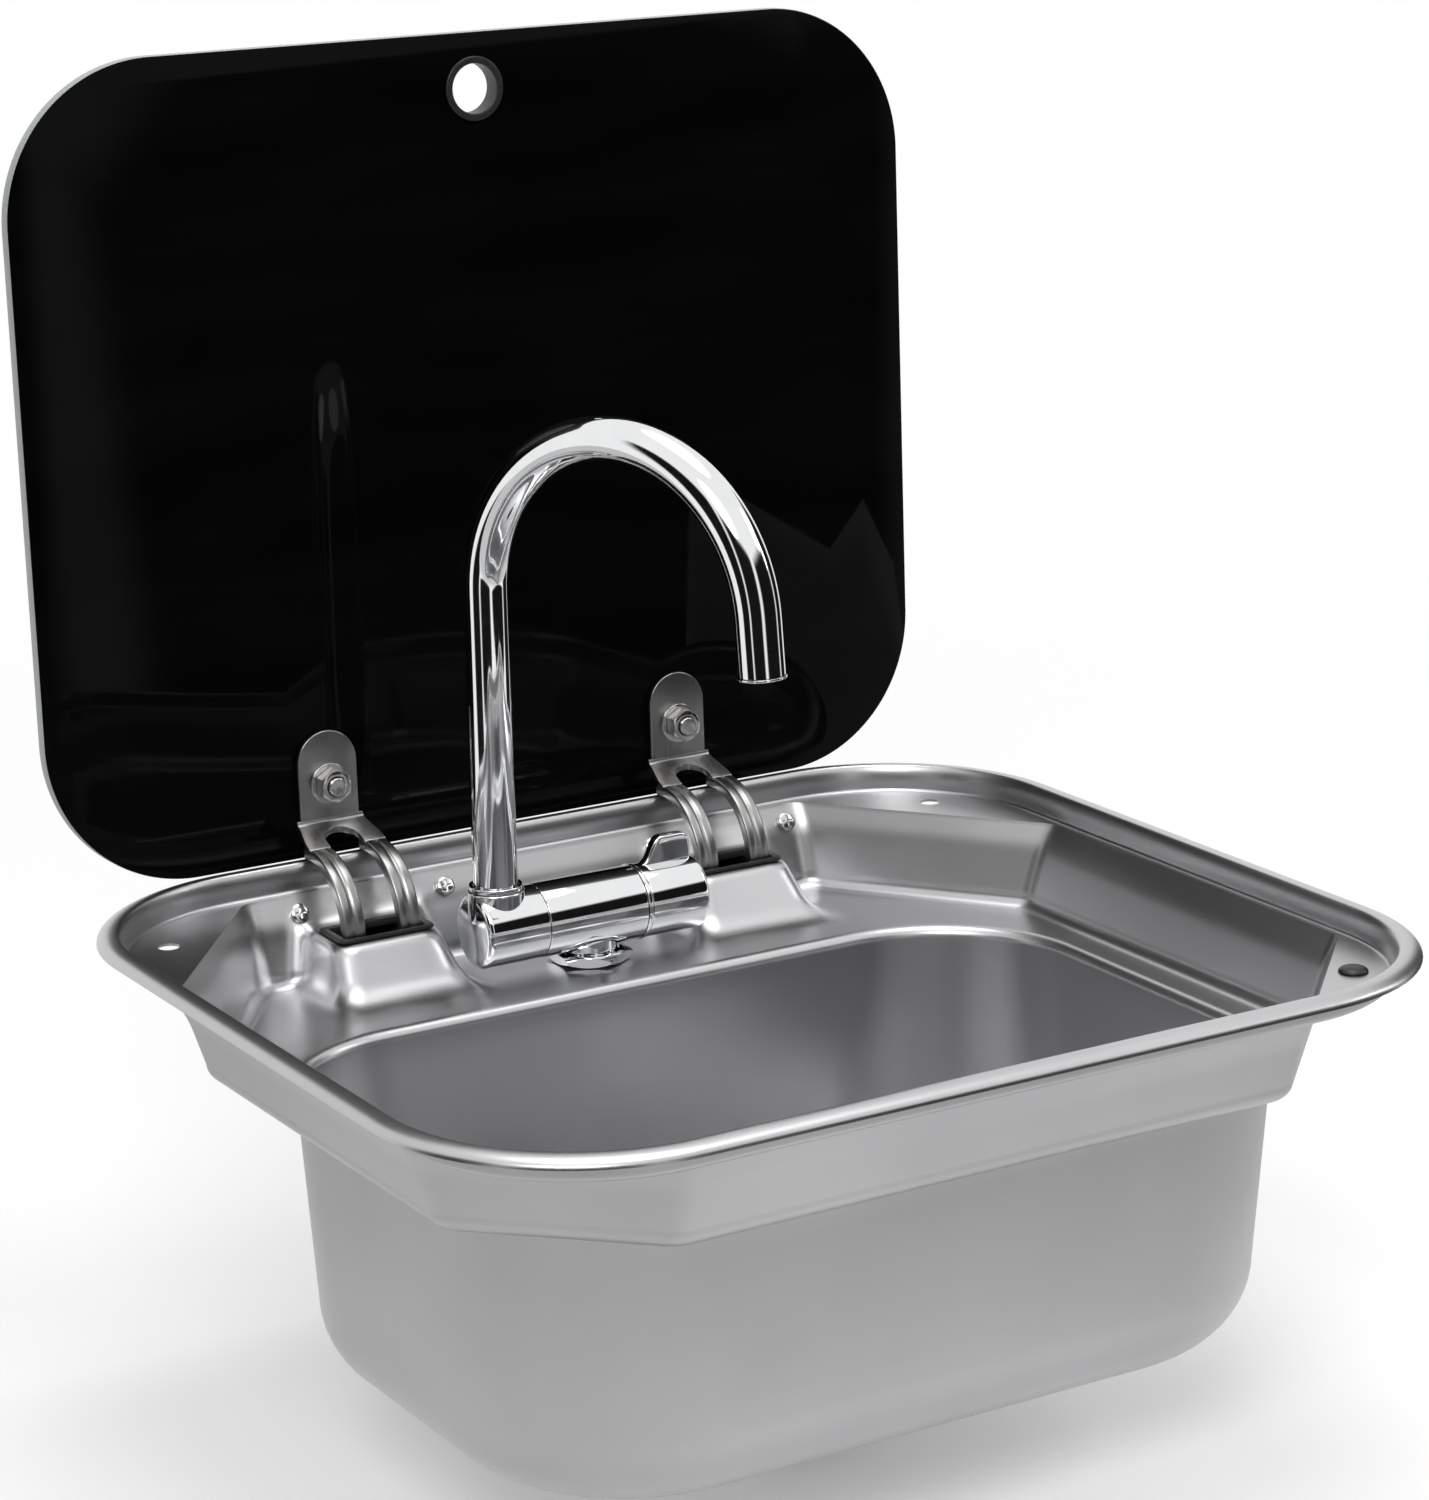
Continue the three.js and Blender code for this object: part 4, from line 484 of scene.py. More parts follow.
# %% Chrome, glass and moulded finishes
def chrome():
    finish = plain_finish("chrome", (0.80, 0.81, 0.82), 0.04, metallic=1)
    haze = grain(finish, 60, detail=5, sharpness=0.55)
    varied(finish, haze, "Roughness", 0.025, 0.07)
    tinted(finish, haze, (0.79, 0.80, 0.81), (0.84, 0.845, 0.85))
    return finish


def black_glass():
    finish = plain_finish("black_glass", (0.002, 0.002, 0.0025), 0.03)
    shader_of(finish).inputs["Specular IOR Level"].default_value = 0.06
    wiped = grain(finish, 9, (1, 1, 5), detail=4)
    varied(finish, wiped, "Roughness", 0.015, 0.06)
    tinted(finish, wiped, (0.0015, 0.0015, 0.002), (0.003, 0.003, 0.0035))
    return finish


def ground_edge():
    finish = plain_finish("ground_glass_edge", (0.36, 0.39, 0.38), 0.4, ior=1.5)
    grit = grain(finish, 1500, detail=3, sharpness=0.7)
    tinted(finish, grit, (0.26, 0.29, 0.285), (0.48, 0.51, 0.50))
    raised(finish, grit, 0.03)
    return finish


def moulded(name, dark, light, roughness, grit_height):
    finish = plain_finish(name, light, roughness, ior=1.48)
    grit = grain(finish, 1100, detail=4, sharpness=0.6)
    tinted(finish, grit, dark, light)
    varied(finish, grit, "Roughness", roughness - 0.08, roughness + 0.1)
    raised(finish, grit, grit_height)
    return finish


def tarnished_copper():
    finish = plain_finish("copper", (0.72, 0.38, 0.24), 0.3, metallic=1)
    stain = grain(finish, 90, (1, 1, 0.4), detail=6, sharpness=0.65)
    tinted(finish, stain, (0.45, 0.22, 0.13), (0.80, 0.44, 0.29))
    varied(finish, stain, "Roughness", 0.22, 0.48)
    return finish


CHROME, BLACK_GLASS, GROUND_EDGE = chrome(), black_glass(), ground_edge()
BLACK_PLASTIC = moulded("black_plastic", (0.010, 0.010, 0.010), (0.022, 0.022, 0.022), 0.38, 0.02)
GREY_PLASTIC = moulded("grey_plastic", (0.055, 0.058, 0.062), (0.085, 0.088, 0.093), 0.42, 0.02)
RUBBER = moulded("rubber", (0.004, 0.004, 0.004), (0.008, 0.008, 0.008), 0.36, 0.01)
COPPER = tarnished_copper()
print("finishes:", len(bpy.data.materials))

# %% [markdown]
# The pieces are written as shapes: a list of points in millimetres and the faces between them. A few
# makers cover most of the sink, as on a shop floor: turning on a lathe, running a flat outline
# straight through, and skinning a stack of rings. Every sharp corner of a real part is broken by
# a small radius that catches the light, so outlines are softened before they are used.

# %% Tools for shapes
SIDE_SHARE = 0.45  # the most of a side that one rounded corner may take


def softened(corners, ease, steps=4, closed=False):
    """Rounds the corners of a flat outline. Ease is the length taken off each side of a corner."""
    points = [np.array(corner[:2], float) for corner in corners]
    eases = [corner[2] if len(corner) > 2 else ease for corner in corners]
    rounded = []
    for i, corner in enumerate(points):
        at_end = not closed and i in (0, len(points) - 1)
        before, after = points[i - 1], points[(i + 1) % len(points)]
        back, ahead = np.linalg.norm(before - corner), np.linalg.norm(after - corner)
        reach = 0 if at_end else min(eases[i], SIDE_SHARE * back, SIDE_SHARE * ahead)
        if reach < 1e-6:
            rounded.append(corner)
            continue
        start = corner + (before - corner) * reach / back
        end = corner + (after - corner) * reach / ahead
        for t in np.linspace(0, 1, steps + 1):
            rounded.append((1 - t) ** 2 * start + 2 * t * (1 - t) * corner + t * t * end)
    return rounded


def skinned(rings, ends="open"):
    """Faces between rings of equally many points. Ends are open, capped, or joined to each other."""
    rings = [np.asarray(ring, float) for ring in rings]
    count, total = len(rings[0]), len(rings)
    spans = total if ends == "joined" else total - 1
    faces = []
    for i in range(spans):
        here, after = i * count, (i + 1) % total * count
        for j in range(count):
            k = (j + 1) % count
            faces.append((here + j, here + k, after + k, after + j))
    if ends == "capped":
        faces.append(tuple(range(count)))
        faces.append(tuple(range((total - 1) * count, total * count)))
    return np.concatenate(rings), faces


def along_axis(axis, radius, angle, height):
    """Points at a radius and angle round an axis. At angle 0 they lie towards +X, or +Y round X."""
    side, rise = radius * np.cos(angle), radius * np.sin(angle)
    height = height + 0 * angle
    order = {"X": (height, side, rise), "Y": (side, height, rise), "Z": (side, rise, height)}
    return np.stack(order[axis], axis=-1)


def turned(outline, axis="Z", ease=0.3, ring=False, segments=96):
    """A body of revolution from (radius, height) pairs. A ring's outline closes on itself."""
    angle = np.linspace(0, 2 * math.pi, segments, endpoint=False)
    soft = softened(outline, ease, closed=ring)
    rings = [along_axis(axis, radius, angle, height) for radius, height in soft]
    return skinned(rings, "joined" if ring else "open")


def run_through(outline, frame_of, low, high):
    """A prism: a flat outline run from one height to another. frame_of places (a, b, height)."""
    rings = [np.array([frame_of(a, b, height) for a, b in outline], float) for height in (low, high)]
    return skinned(rings, "capped")


def in_front_view(x, z, y):
    return x, y, z


def in_side_view(y, z, x):
    return x, y, z


def in_plan(x, y, z):
    return x, y, z


def joined(*shapes):
    points, faces, start = [], [], 0
    for shape_points, shape_faces in shapes:
        points.append(shape_points)
        faces.extend(tuple(start + i for i in face) for face in shape_faces)
        start += len(shape_points)
    return np.concatenate(points), faces


def moved(shape, x=0, y=0, z=0):
    return shape[0] + np.array((x, y, z), float), shape[1]


print("shape tools ready")

# %% [markdown]
# A shape becomes a piece when it gets a name, a place, a finish and a body to ride on. Two things
# decide how it catches the light. Edges that turn by more than a set angle stay crisp and the rest is
# smooth, and a fine bevel breaks the crisp edges of the pieces that were not softened before.
# Holes are cut with a boolean, which is applied at once so that no tool is left in the scene.

# %% Tools for pieces
SHARP = math.radians(38)  # an edge that turns further stays crisp
CRISP = math.radians(30)  # for small pieces with fine cones and steps
FLOWING = math.radians(50)  # for pieces that are drawn round all over
SIDES = ((-1, "left"), (1, "right"))


def made(name, shape, place=None, bevel=0.0, bevel_steps=3, sharp=SHARP):
    """A mesh object from a shape, smooth but for its sharp edges."""
    points, faces = shape
    mesh = bpy.data.meshes.new(name)
    mesh.from_pydata((points * MM).tolist(), [], faces)
    build = bmesh.new()
    build.from_mesh(mesh)
    bmesh.ops.remove_doubles(build, verts=build.verts, dist=1e-7)
    bmesh.ops.recalc_face_normals(build, faces=build.faces)
    build.to_mesh(mesh)
    build.free()
    piece = bpy.data.objects.new(name, mesh)
    bpy.context.scene.collection.objects.link(piece)
    if place is not None:
        mesh.transform(place)
    if bevel:
        break_edges(piece, bevel, bevel_steps, sharp)
    smooth(piece, sharp)
    return piece


def break_edges(piece, width, steps, sharp):
    """Bevels the edges that turn by more than the sharp angle."""
    soften = piece.modifiers.new("broken_edges", "BEVEL")
    soften.width = width * MM
    soften.segments = steps
    soften.limit_method = "ANGLE"
    soften.angle_limit = sharp
    soften.use_clamp_overlap = True
    settle(piece)


def smooth(piece, sharp=SHARP):
    mesh = piece.data
    mesh.polygons.foreach_set("use_smooth", [True] * len(mesh.polygons))
    mesh.set_sharp_from_angle(angle=sharp)


def settle(piece):
    """Applies a piece's modifiers to its mesh."""
    bpy.context.view_layer.update()
    ready = piece.evaluated_get(bpy.context.evaluated_depsgraph_get())
    mesh = bpy.data.meshes.new_from_object(ready)
    mesh.name = piece.data.name
    piece.modifiers.clear()
    piece.data = mesh


def worked(piece, tool_shape, operation="DIFFERENCE", sharp=SHARP):
    """Cuts a piece with a tool, or keeps only what lies inside the tool."""
    tool = made(piece.name + "_tool", tool_shape)
    cut = piece.modifiers.new("cut", "BOOLEAN")
    cut.operation = operation
    cut.solver = "EXACT"
    cut.object = tool
    settle(piece)
    bpy.data.objects.remove(tool)
    smooth(piece, sharp)
    return piece


def fitted(piece, node, body, finish):
    """Hangs a piece on its body, in the place of its CAD node, in its finish."""
    piece.data.materials.clear()
    piece.data.materials.append(finish)
    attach(piece, body)
    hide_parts(node)
    return piece


def refinished(node, finish):
    """Gives a CAD node that is shown as it is its finish."""
    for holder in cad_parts[node].material_slots:
        holder.material = finish


print("piece tools ready")

# %% [markdown]
# The basin is one sheet of steel, pressed in several strokes: rolled rim, ledges in the corners, a
# sloped band and wall, the shelf for the tap, and the bowl. It could be modelled by pushing a grid
# about, but every stroke of the press is a rectangle with rounded or cut-off corners at its own depth.
# So it is drawn as a stack of such levels, as in the CAD, with many more of them.

# %% Sizes of the basin
GAP = 0.3  # between two pieces that touch on the real sink
SHEET = 1
RIM_LENGTH = 420
RIM_WIDTH = 370
RIM_LIFT = 0.3
RIM_CORNER = 81
CROWN_HEIGHT = 4
CROWN_INSET = 7.5  # from the rim's edge to the top of its roll
CROWN_TO_FOOT = 3.1
FOOT_FILLET = 1.6
LEDGE_DEPTH = 7
LEDGE_MARGIN = 1.2
LEDGE_EDGE = 1
TIER_CORNER = 12
BAND_RUN, BAND_DROP = 5.6, 10  # the sloped band
WALL_RUN = 6  # the steeper wall below it
CORNER_CUT = 70
BACK_CORNER_CUT = 90  # the back corners reach further along the sides
SHELF_DEPTH = 41
SHELF_FILLET = 6
BOWL_SIDE_INSET = 44
BOWL_FRONT_INSET = 47
BOWL_BACK_INSET = 94
BOWL_DEPTH = 152
BOWL_CORNER = 60
BOWL_CORNER_GROWTH = 15  # towards the floor
BOWL_LIP = 4.5
BOWL_FILLET = 31
BOWL_FALL = 0.8  # from the foot of the walls to the waste
WASTE_SEAT_RADIUS = 37
WASTE_SEAT_EDGE = 1.2
WASTE_SEAT_DROP = 3.5
WASTE_HOLE_RADIUS = 26
RIM_FOOT = CROWN_INSET + CROWN_TO_FOOT
TIER_INSET = RIM_FOOT + FOOT_FILLET + LEDGE_MARGIN
BOWL_LENGTH = RIM_LENGTH - 2 * BOWL_SIDE_INSET
BOWL_WIDTH = RIM_WIDTH - BOWL_FRONT_INSET - BOWL_BACK_INSET
BOWL_Y = (BOWL_FRONT_INSET - BOWL_BACK_INSET) / 2
ROUND_CUT = 2 - math.sqrt(2)  # the cut-off that a rounded corner makes of itself, per millimetre of radius
print("bowl", BOWL_LENGTH, "by", BOWL_WIDTH, "mm, upper tier", round(TIER_INSET, 1), "mm in from the rim")

# %% [markdown]
# A level is a rectangle whose corners are cut off and then rounded. Where the cut is short enough, the
# two roundings meet and the corner is a plain arc, so one form serves the rim, the tier and the bowl.
# Every level gives a ring of equally many points, and the back side gets many more of them than the
# others, since the hinge bumps need them there.

# %% Levels and rings
CORNER_STEPS = 10
BACK_COLUMNS = np.linspace(1, -1, 201)  # along the straight back, from the right to the left


def level(half_x, half_y, radius, cut_off, z, x=0.0, y=0.0, back_cut=None):
    """A rectangle with cut-off corners. back_cut is how far the back ones reach along the sides."""
    return {
        "half": np.array((half_x, half_y), float),
        "radius": radius,
        "cut": cut_off,
        "back_cut": cut_off if back_cut is None else back_cut,
        "z": z,
        "at": (x, y),
    }


def round_level(half_x, half_y, radius, z, x=0.0, y=0.0):
    return level(half_x, half_y, radius, ROUND_CUT * radius, z, x, y)


def grown(base, out, up=0.0):
    return {
        **base,
        "half": base["half"] + out,
        "radius": base["radius"] + out,
        "cut": base["cut"] + ROUND_CUT * out,
        "back_cut": base["back_cut"] + ROUND_CUT * out,
        "z": base["z"] + up,
    }


def corner_points(base, along_side, steps):
    """A corner in plan: one arc off the side, the straight cut, and one arc on to the back or front."""
    (half_x, half_y), radius, cut = base["half"], base["radius"], base["cut"]
    turn = math.atan2(cut, along_side)
    off_side = half_y - along_side - radius * math.tan(turn / 2)
    off_end = half_x - cut - radius * math.tan((math.pi / 2 - turn) / 2)
    arcs = [
        (half_x - radius, off_side, np.linspace(0, turn, steps + 1)),
        (off_end, half_y - radius, np.linspace(turn, math.pi / 2, steps + 1)),
    ]
    points = [np.stack((x + radius * np.cos(t), y + radius * np.sin(t)), -1) for x, y, t in arcs]
    return np.concatenate(points)


def level_ring(base, steps=CORNER_STEPS, columns=None):
    """Points round a level: four corners, and the columns along its straight back."""
    back = corner_points(base, base["back_cut"], steps)
    front = corner_points(base, base["cut"], steps)
    parts = [back, back[::-1] * (-1, 1), front * (-1, -1), front[::-1] * (1, -1)]
    if columns is not None:
        reach, half_y = back[-1]
        straight = np.stack((columns[1:-1] * reach, np.full(len(columns) - 2, half_y)), -1)
        parts.insert(1, straight)
    flat = np.concatenate(parts) + base["at"]
    return np.column_stack((flat, np.full(len(flat), base["z"])))


def quarter(steps):
    return [(i + 1) / steps * math.pi / 2 for i in range(steps)]


def rim_level(inset, z):
    return round_level(RIM_LENGTH / 2 - inset, RIM_WIDTH / 2 - inset, RIM_CORNER - inset, z)


def rim_edge_levels(steps=14):
    rise = CROWN_HEIGHT - RIM_LIFT
    return [
        rim_level(CROWN_INSET * (1 - math.cos(t)), RIM_LIFT + rise * math.sin(t))
        for t in [0, *quarter(steps)]
    ]


def rim_foot_levels():
    foot_top = FOOT_FILLET - LEDGE_DEPTH
    drop = CROWN_HEIGHT - foot_top
    slope = [
        rim_level(CROWN_INSET + CROWN_TO_FOOT * math.sin(t), foot_top + drop * math.cos(t))
        for t in quarter(12)
    ]
    fillet = [
        rim_level(RIM_FOOT + FOOT_FILLET * (1 - math.cos(t)), foot_top - FOOT_FILLET * math.sin(t))
        for t in quarter(6)
    ]
    return slope + fillet


print("one ring has", len(level_ring(rim_level(0, 0), columns=BACK_COLUMNS)), "points")

# %% [markdown]
# Under the rim, the levels follow the profile of the upper tier: a short round edge, the sloped band,
# the steeper wall and a round foot. The profile is softened and then divided finely, because the two
# hinge bumps will be pressed out of these walls. Below the shelf come the bowl's rounded lip,
# its walls, whose corners open out on the way down, and the floor that falls to the waste. The back
# corners are cut off further along the sides than along the back, which makes their ledges longer.

# %% Profile of the tier, bowl and waste seat
def divided(outline, longest):
    """The same outline with no stretch longer than the given length."""
    points = [outline[0]]
    for before, after in zip(outline, outline[1:]):
        parts = max(1, math.ceil(np.linalg.norm(np.subtract(after, before)) / longest))
        points += [np.add(before, np.subtract(after, before) * i / parts) for i in range(1, parts + 1)]
    return points


def tier_level(run, z):
    """A level of the upper tier. Its cut-off corners are steeper than its walls."""
    wall = min(run, BAND_RUN + WALL_RUN)
    fillet = run - wall
    half_x, half_y = RIM_LENGTH / 2 - TIER_INSET - run, RIM_WIDTH / 2 - TIER_INSET - run
    in_from_top = wall + ROUND_CUT * fillet
    back_cut = BACK_CORNER_CUT - in_from_top
    return level(half_x, half_y, TIER_CORNER, CORNER_CUT - in_from_top, z, back_cut=back_cut)


def tier_profile():
    foot_run, foot_top = BAND_RUN + WALL_RUN, SHELF_FILLET - SHELF_DEPTH
    walls = softened([
        (0, -LEDGE_DEPTH),
        (LEDGE_EDGE / 2, -LEDGE_DEPTH - LEDGE_EDGE, 0.8),
        (BAND_RUN, -LEDGE_DEPTH - BAND_DROP, 3.5),
        (foot_run, foot_top),
    ], 1)
    foot = [
        (foot_run + SHELF_FILLET * (1 - math.cos(t)), foot_top - SHELF_FILLET * math.sin(t))
        for t in quarter(8)
    ]
    return divided(walls, 1.3) + foot


def bowl_levels():
    half_x, half_y = BOWL_LENGTH / 2, BOWL_WIDTH / 2
    mouth = round_level(half_x, half_y, BOWL_CORNER, -SHELF_DEPTH - BOWL_LIP, 0, BOWL_Y)
    lip = [grown(mouth, BOWL_LIP * (1 - math.sin(t)), BOWL_LIP * math.cos(t)) for t in [0, *quarter(8)]]
    drop = BOWL_FILLET - BOWL_DEPTH - mouth["z"]
    walls = []
    for share in np.linspace(0, 1, 9)[1:]:
        corner = BOWL_CORNER + BOWL_CORNER_GROWTH * share
        walls.append(round_level(half_x, half_y, corner, mouth["z"] + drop * share, 0, BOWL_Y))
    fillet = [
        grown(walls[-1], BOWL_FILLET * (math.cos(t) - 1), -BOWL_FILLET * math.sin(t)) for t in quarter(18)
    ]
    return lip + walls + fillet


def waste_levels():
    floor = -BOWL_DEPTH - BOWL_FALL
    seat = floor - WASTE_SEAT_DROP
    profile = softened([
        (WASTE_SEAT_RADIUS + 3 * WASTE_SEAT_EDGE, floor + 0.05),
        (WASTE_SEAT_RADIUS + WASTE_SEAT_EDGE, floor),
        (WASTE_SEAT_RADIUS - WASTE_SEAT_EDGE, seat),
        (WASTE_HOLE_RADIUS, seat),
    ], 1.4)
    return [round_level(radius, radius, radius, z, 0, BOWL_Y) for radius, z in profile]


print("tier profile:", len(tier_profile()), "levels, bowl:", len(bowl_levels()), "levels")

# %% [markdown]
# The two hinge bumps are pressed out of the back wall and the shelf, with soft roots where the sheet
# was drawn. They could be separate boxes with fillets, but then the sheet would show a joint. Instead
# each point of the sheet is pushed forwards and up until it meets the bump's form. Form and sheet
# are both known as distances, and a smooth minimum of the two gives the rounded root for free.

# %% Press the hinge bumps
HINGE_X = 80.5
BUMP_DEPTH = 20
BUMP_TOP_HALF, BUMP_FOOT_HALF = 23.5, 28.5
BUMP_TOP_FRONT, BUMP_FOOT_FRONT = 136.5, 120  # the y of the bump's front, at its top and at its foot
BUMP_ROOT = 9  # this and the next two are widths over which a turn of the sheet is rounded
BUMP_CORNER = 9
BUMP_EDGE = 3.5
PRESS_WAY = np.array((0, -1, 1)) / math.sqrt(2)
LONGEST_PRESS = 60
PRESSED_BEHIND = 90  # the bumps and their roots lie behind this y


def smooth_min(a, b, width):
    overlap = np.maximum(width - np.abs(a - b), 0) / width
    return np.minimum(a, b) - overlap ** 2 * width / 4


def smooth_max(a, b, width):
    return -smooth_min(-a, -b, width)


def height_over_sheet(points, profile):
    """Signed distance from the back wall's profile, given as (y, z) pairs from the ledge forwards."""
    flat = points[:, 1:]
    nearest, signed = np.full(len(flat), np.inf), np.zeros(len(flat))
    for start, end in zip(profile, profile[1:]):
        run = end - start
        share = np.clip(((flat - start) @ run) / (run @ run), 0, 1)
        offset = flat - (start + share[:, None] * run)
        distance = np.linalg.norm(offset, axis=1)
        above = offset @ np.array((run[1], -run[0])) >= 0
        closer = distance < nearest - 1e-9
        nearest[closer] = distance[closer]
        signed[closer] = np.where(above, distance, -distance)[closer]
    return signed


def height_over_bump(points, x):
    depth = SHELF_DEPTH - BUMP_DEPTH
    share = (-points[:, 2] - BUMP_DEPTH) / depth
    half = BUMP_TOP_HALF + (BUMP_FOOT_HALF - BUMP_TOP_HALF) * share
    front = BUMP_TOP_FRONT + (BUMP_FOOT_FRONT - BUMP_TOP_FRONT) * share
    side_slope = math.hypot(BUMP_FOOT_HALF - BUMP_TOP_HALF, depth) / depth
    front_slope = math.hypot(BUMP_TOP_FRONT - BUMP_FOOT_FRONT, depth) / depth
    beside = (np.abs(points[:, 0] - x) - half) / side_slope
    ahead = (front - points[:, 1]) / front_slope
    return smooth_max(smooth_max(beside, ahead, BUMP_CORNER), points[:, 2] + BUMP_DEPTH, BUMP_EDGE)


def pressed(points, profile):
    """Moves points of the flat sheet along the way of the press, on to the hinge bumps."""
    def clearance(at):
        bumps = np.minimum(height_over_bump(at, -HINGE_X), height_over_bump(at, HINGE_X))
        return smooth_min(height_over_sheet(at, profile), bumps, BUMP_ROOT)

    low, high = np.zeros(len(points)), np.full(len(points), float(LONGEST_PRESS))
    for _ in range(26):
        middle = (low + high) / 2
        inside = clearance(points + middle[:, None] * PRESS_WAY) < 0
        low, high = np.where(inside, middle, low), np.where(inside, high, middle)
    way = np.where(clearance(points) < -1e-4, low, 0)
    return points + way[:, None] * PRESS_WAY


print("bumps", 2 * BUMP_TOP_HALF, "mm wide on top at x = +-", HINGE_X)

# %% [markdown]
# Now the levels become one sheet. The shelf and the bowl's floor are flat, so their rings are simply
# spread between the last ring outside them and the first ring inside. The shelf gets many of them,
# because the feet of the bumps are pressed out of it. The wall's profile is read off the rings at the
# middle of the back, and it tells the press how far each point lies from the flat sheet.

# %% Stack the levels into the sheet
SHELF_STEPS = 44
FLOOR_STEPS = 8


def rings_between(outer, inner, steps):
    return [outer + (inner - outer) * share for share in np.linspace(0, 1, steps + 1)[1:-1]]


def sheet_rings():
    tier_levels = [tier_level(run, z) for run, z in tier_profile()]
    groups = [rim_edge_levels() + rim_foot_levels(), tier_levels, bowl_levels(), waste_levels()]
    rim, tier, bowl, waste = [[level_ring(one, columns=BACK_COLUMNS) for one in group] for group in groups]
    shelf = rings_between(tier[-1], bowl[0], SHELF_STEPS)
    floor = rings_between(bowl[-1], waste[0], FLOOR_STEPS)
    return rim, tier + shelf, bowl + floor + waste


def pressed_sheet():
    rim, upper, lower = sheet_rings()
    profile = [np.array((RIM_WIDTH / 2, -LEDGE_DEPTH))]
    profile += [ring[2 * CORNER_STEPS + len(BACK_COLUMNS) // 2][1:] for ring in upper]
    size = len(upper[0])
    points = np.concatenate(upper)
    at_back = points[:, 1] > PRESSED_BEHIND
    points[at_back] = pressed(points[at_back], profile)
    upper = [points[i * size:(i + 1) * size] for i in range(len(upper))]
    return skinned(rim + upper + lower)


sheet_shape = pressed_sheet()
print("sheet:", len(sheet_shape[0]), "points")

# %% [markdown]
# The sheet gets its thickness, and then the holes that are punched into it: the two hinge slots, four
# ledge holes, the tap hole and the screw holes. Punching before thickening would leave ragged edges,
# so the thickness is added first and each hole is a clean cut through both faces.

# %% Thicken and punch the basin
SLOT_HALF = 18.6
SLOT_FRONT, SLOT_BACK = 138.9, 158
SLOT_CORNER = 3
LEDGE_HOLE_X, LEDGE_HOLE_Y = 173.5, 138
LEDGE_HOLE_RADIUS = 4.2
TAP_Y = 127
TAP_BASE_X = 2.5
SHANK_RADIUS = 9.7
SCREW_OFFSETS = (-24.5, 40)  # from the middle of the hinge, the same way on both hinges
SCREW_PLACES = [side * HINGE_X + offset for side, _ in SIDES for offset in SCREW_OFFSETS]
SCREW_DEPTH = 14
SCREW_RADIUS = 2
PUNCH_UNDER, PUNCH_OVER = 3, 2  # how far a round punch reaches past the sheet
SLOT_PUNCH = (-30, -12)  # the heights between which a slot punch reaches
BAND_SLOPE = math.atan2(BAND_RUN - LEDGE_EDGE / 2, BAND_DROP - LEDGE_EDGE)
BASIN_SHARP = math.radians(32)


def rod(radius, low, high, axis="Z", segments=48):
    return turned([(0, low), (radius, low), (radius, high), (0, high)], axis, 0, segments=segments)


def on_band(x):
    """The turn and place that stand a screw square on the sloped band of the back wall."""
    down = (SCREW_DEPTH - LEDGE_DEPTH - LEDGE_EDGE) / (BAND_DROP - LEDGE_EDGE)
    y = RIM_WIDTH / 2 - TIER_INSET - LEDGE_EDGE / 2 - (BAND_RUN - LEDGE_EDGE / 2) * down
    place = Matrix.Translation(Vector((x, y, -SCREW_DEPTH)) * MM)
    return place @ Matrix.Rotation(math.pi / 2 - BAND_SLOPE, 4, "X")


def put(shape, place):
    """A shape in millimetres, moved by a matrix in metres."""
    turn, shift = np.array(place.to_3x3()), np.array(place.translation) / MM
    return shape[0] @ turn.T + shift, shape[1]


def slot_level(out, z, x=0.0):
    half_y = (SLOT_BACK - SLOT_FRONT) / 2
    return grown(round_level(SLOT_HALF, half_y, SLOT_CORNER, z, x, SLOT_FRONT + half_y), out)


def punches():
    slots = []
    for side, _ in SIDES:
        rings = [level_ring(slot_level(0, z, side * HINGE_X), 6) for z in SLOT_PUNCH]
        slots.append(skinned(rings, "capped"))
    hole = rod(LEDGE_HOLE_RADIUS, -LEDGE_DEPTH - PUNCH_UNDER, -LEDGE_DEPTH + PUNCH_OVER)
    ledges = [moved(hole, sx * LEDGE_HOLE_X, sy * LEDGE_HOLE_Y) for sx in (-1, 1) for sy in (-1, 1)]
    tap_hole = rod(SHANK_RADIUS + GAP, -SHELF_DEPTH - PUNCH_UNDER, -SHELF_DEPTH + PUNCH_OVER)
    screw_hole = rod(SCREW_RADIUS + GAP, -PUNCH_UNDER, PUNCH_OVER, segments=24)
    screws = [put(screw_hole, on_band(x)) for x in SCREW_PLACES]
    return joined(*slots, *ledges, moved(tap_hole, TAP_BASE_X, TAP_Y), *screws)


def press_basin():
    basin = made("sink_basin", sheet_shape)
    up = sum(face.normal.z * face.area for face in basin.data.polygons)
    thick = basin.modifiers.new("sheet", "SOLIDIFY")
    thick.thickness = SHEET * MM
    thick.offset = -1 if up > 0 else 1
    thick.use_even_offset = True
    settle(basin)
    return worked(basin, punches(), sharp=BASIN_SHARP)


basin = fitted(press_basin(), "basin", "sink", BASIN_STEEL)
print("basin:", len(basin.data.polygons), "faces")

# %% [markdown]
# A rubber seal fills the rolled rim from below, and lies flat on the worktop. It takes its form from
# the same levels, one sheet and a small gap further in. Four holes wait in the corner ledges: the two
# at the front hold domed rubber bumpers that the closed lid rests on, and the two behind stay open.

# %% Seal and bumpers
PIVOT_Y, PIVOT_Z = 172.6, -20.4  # the hinge line
LID_FACE = 16.1  # from the hinge line to the glass
SEAL_START = 0.2  # the height where the seal's rounded back begins
BUMPER_RADIUS = 5.6
BUMPER_BARB = 0.8
BUMPER_BARB_LENGTH = 4


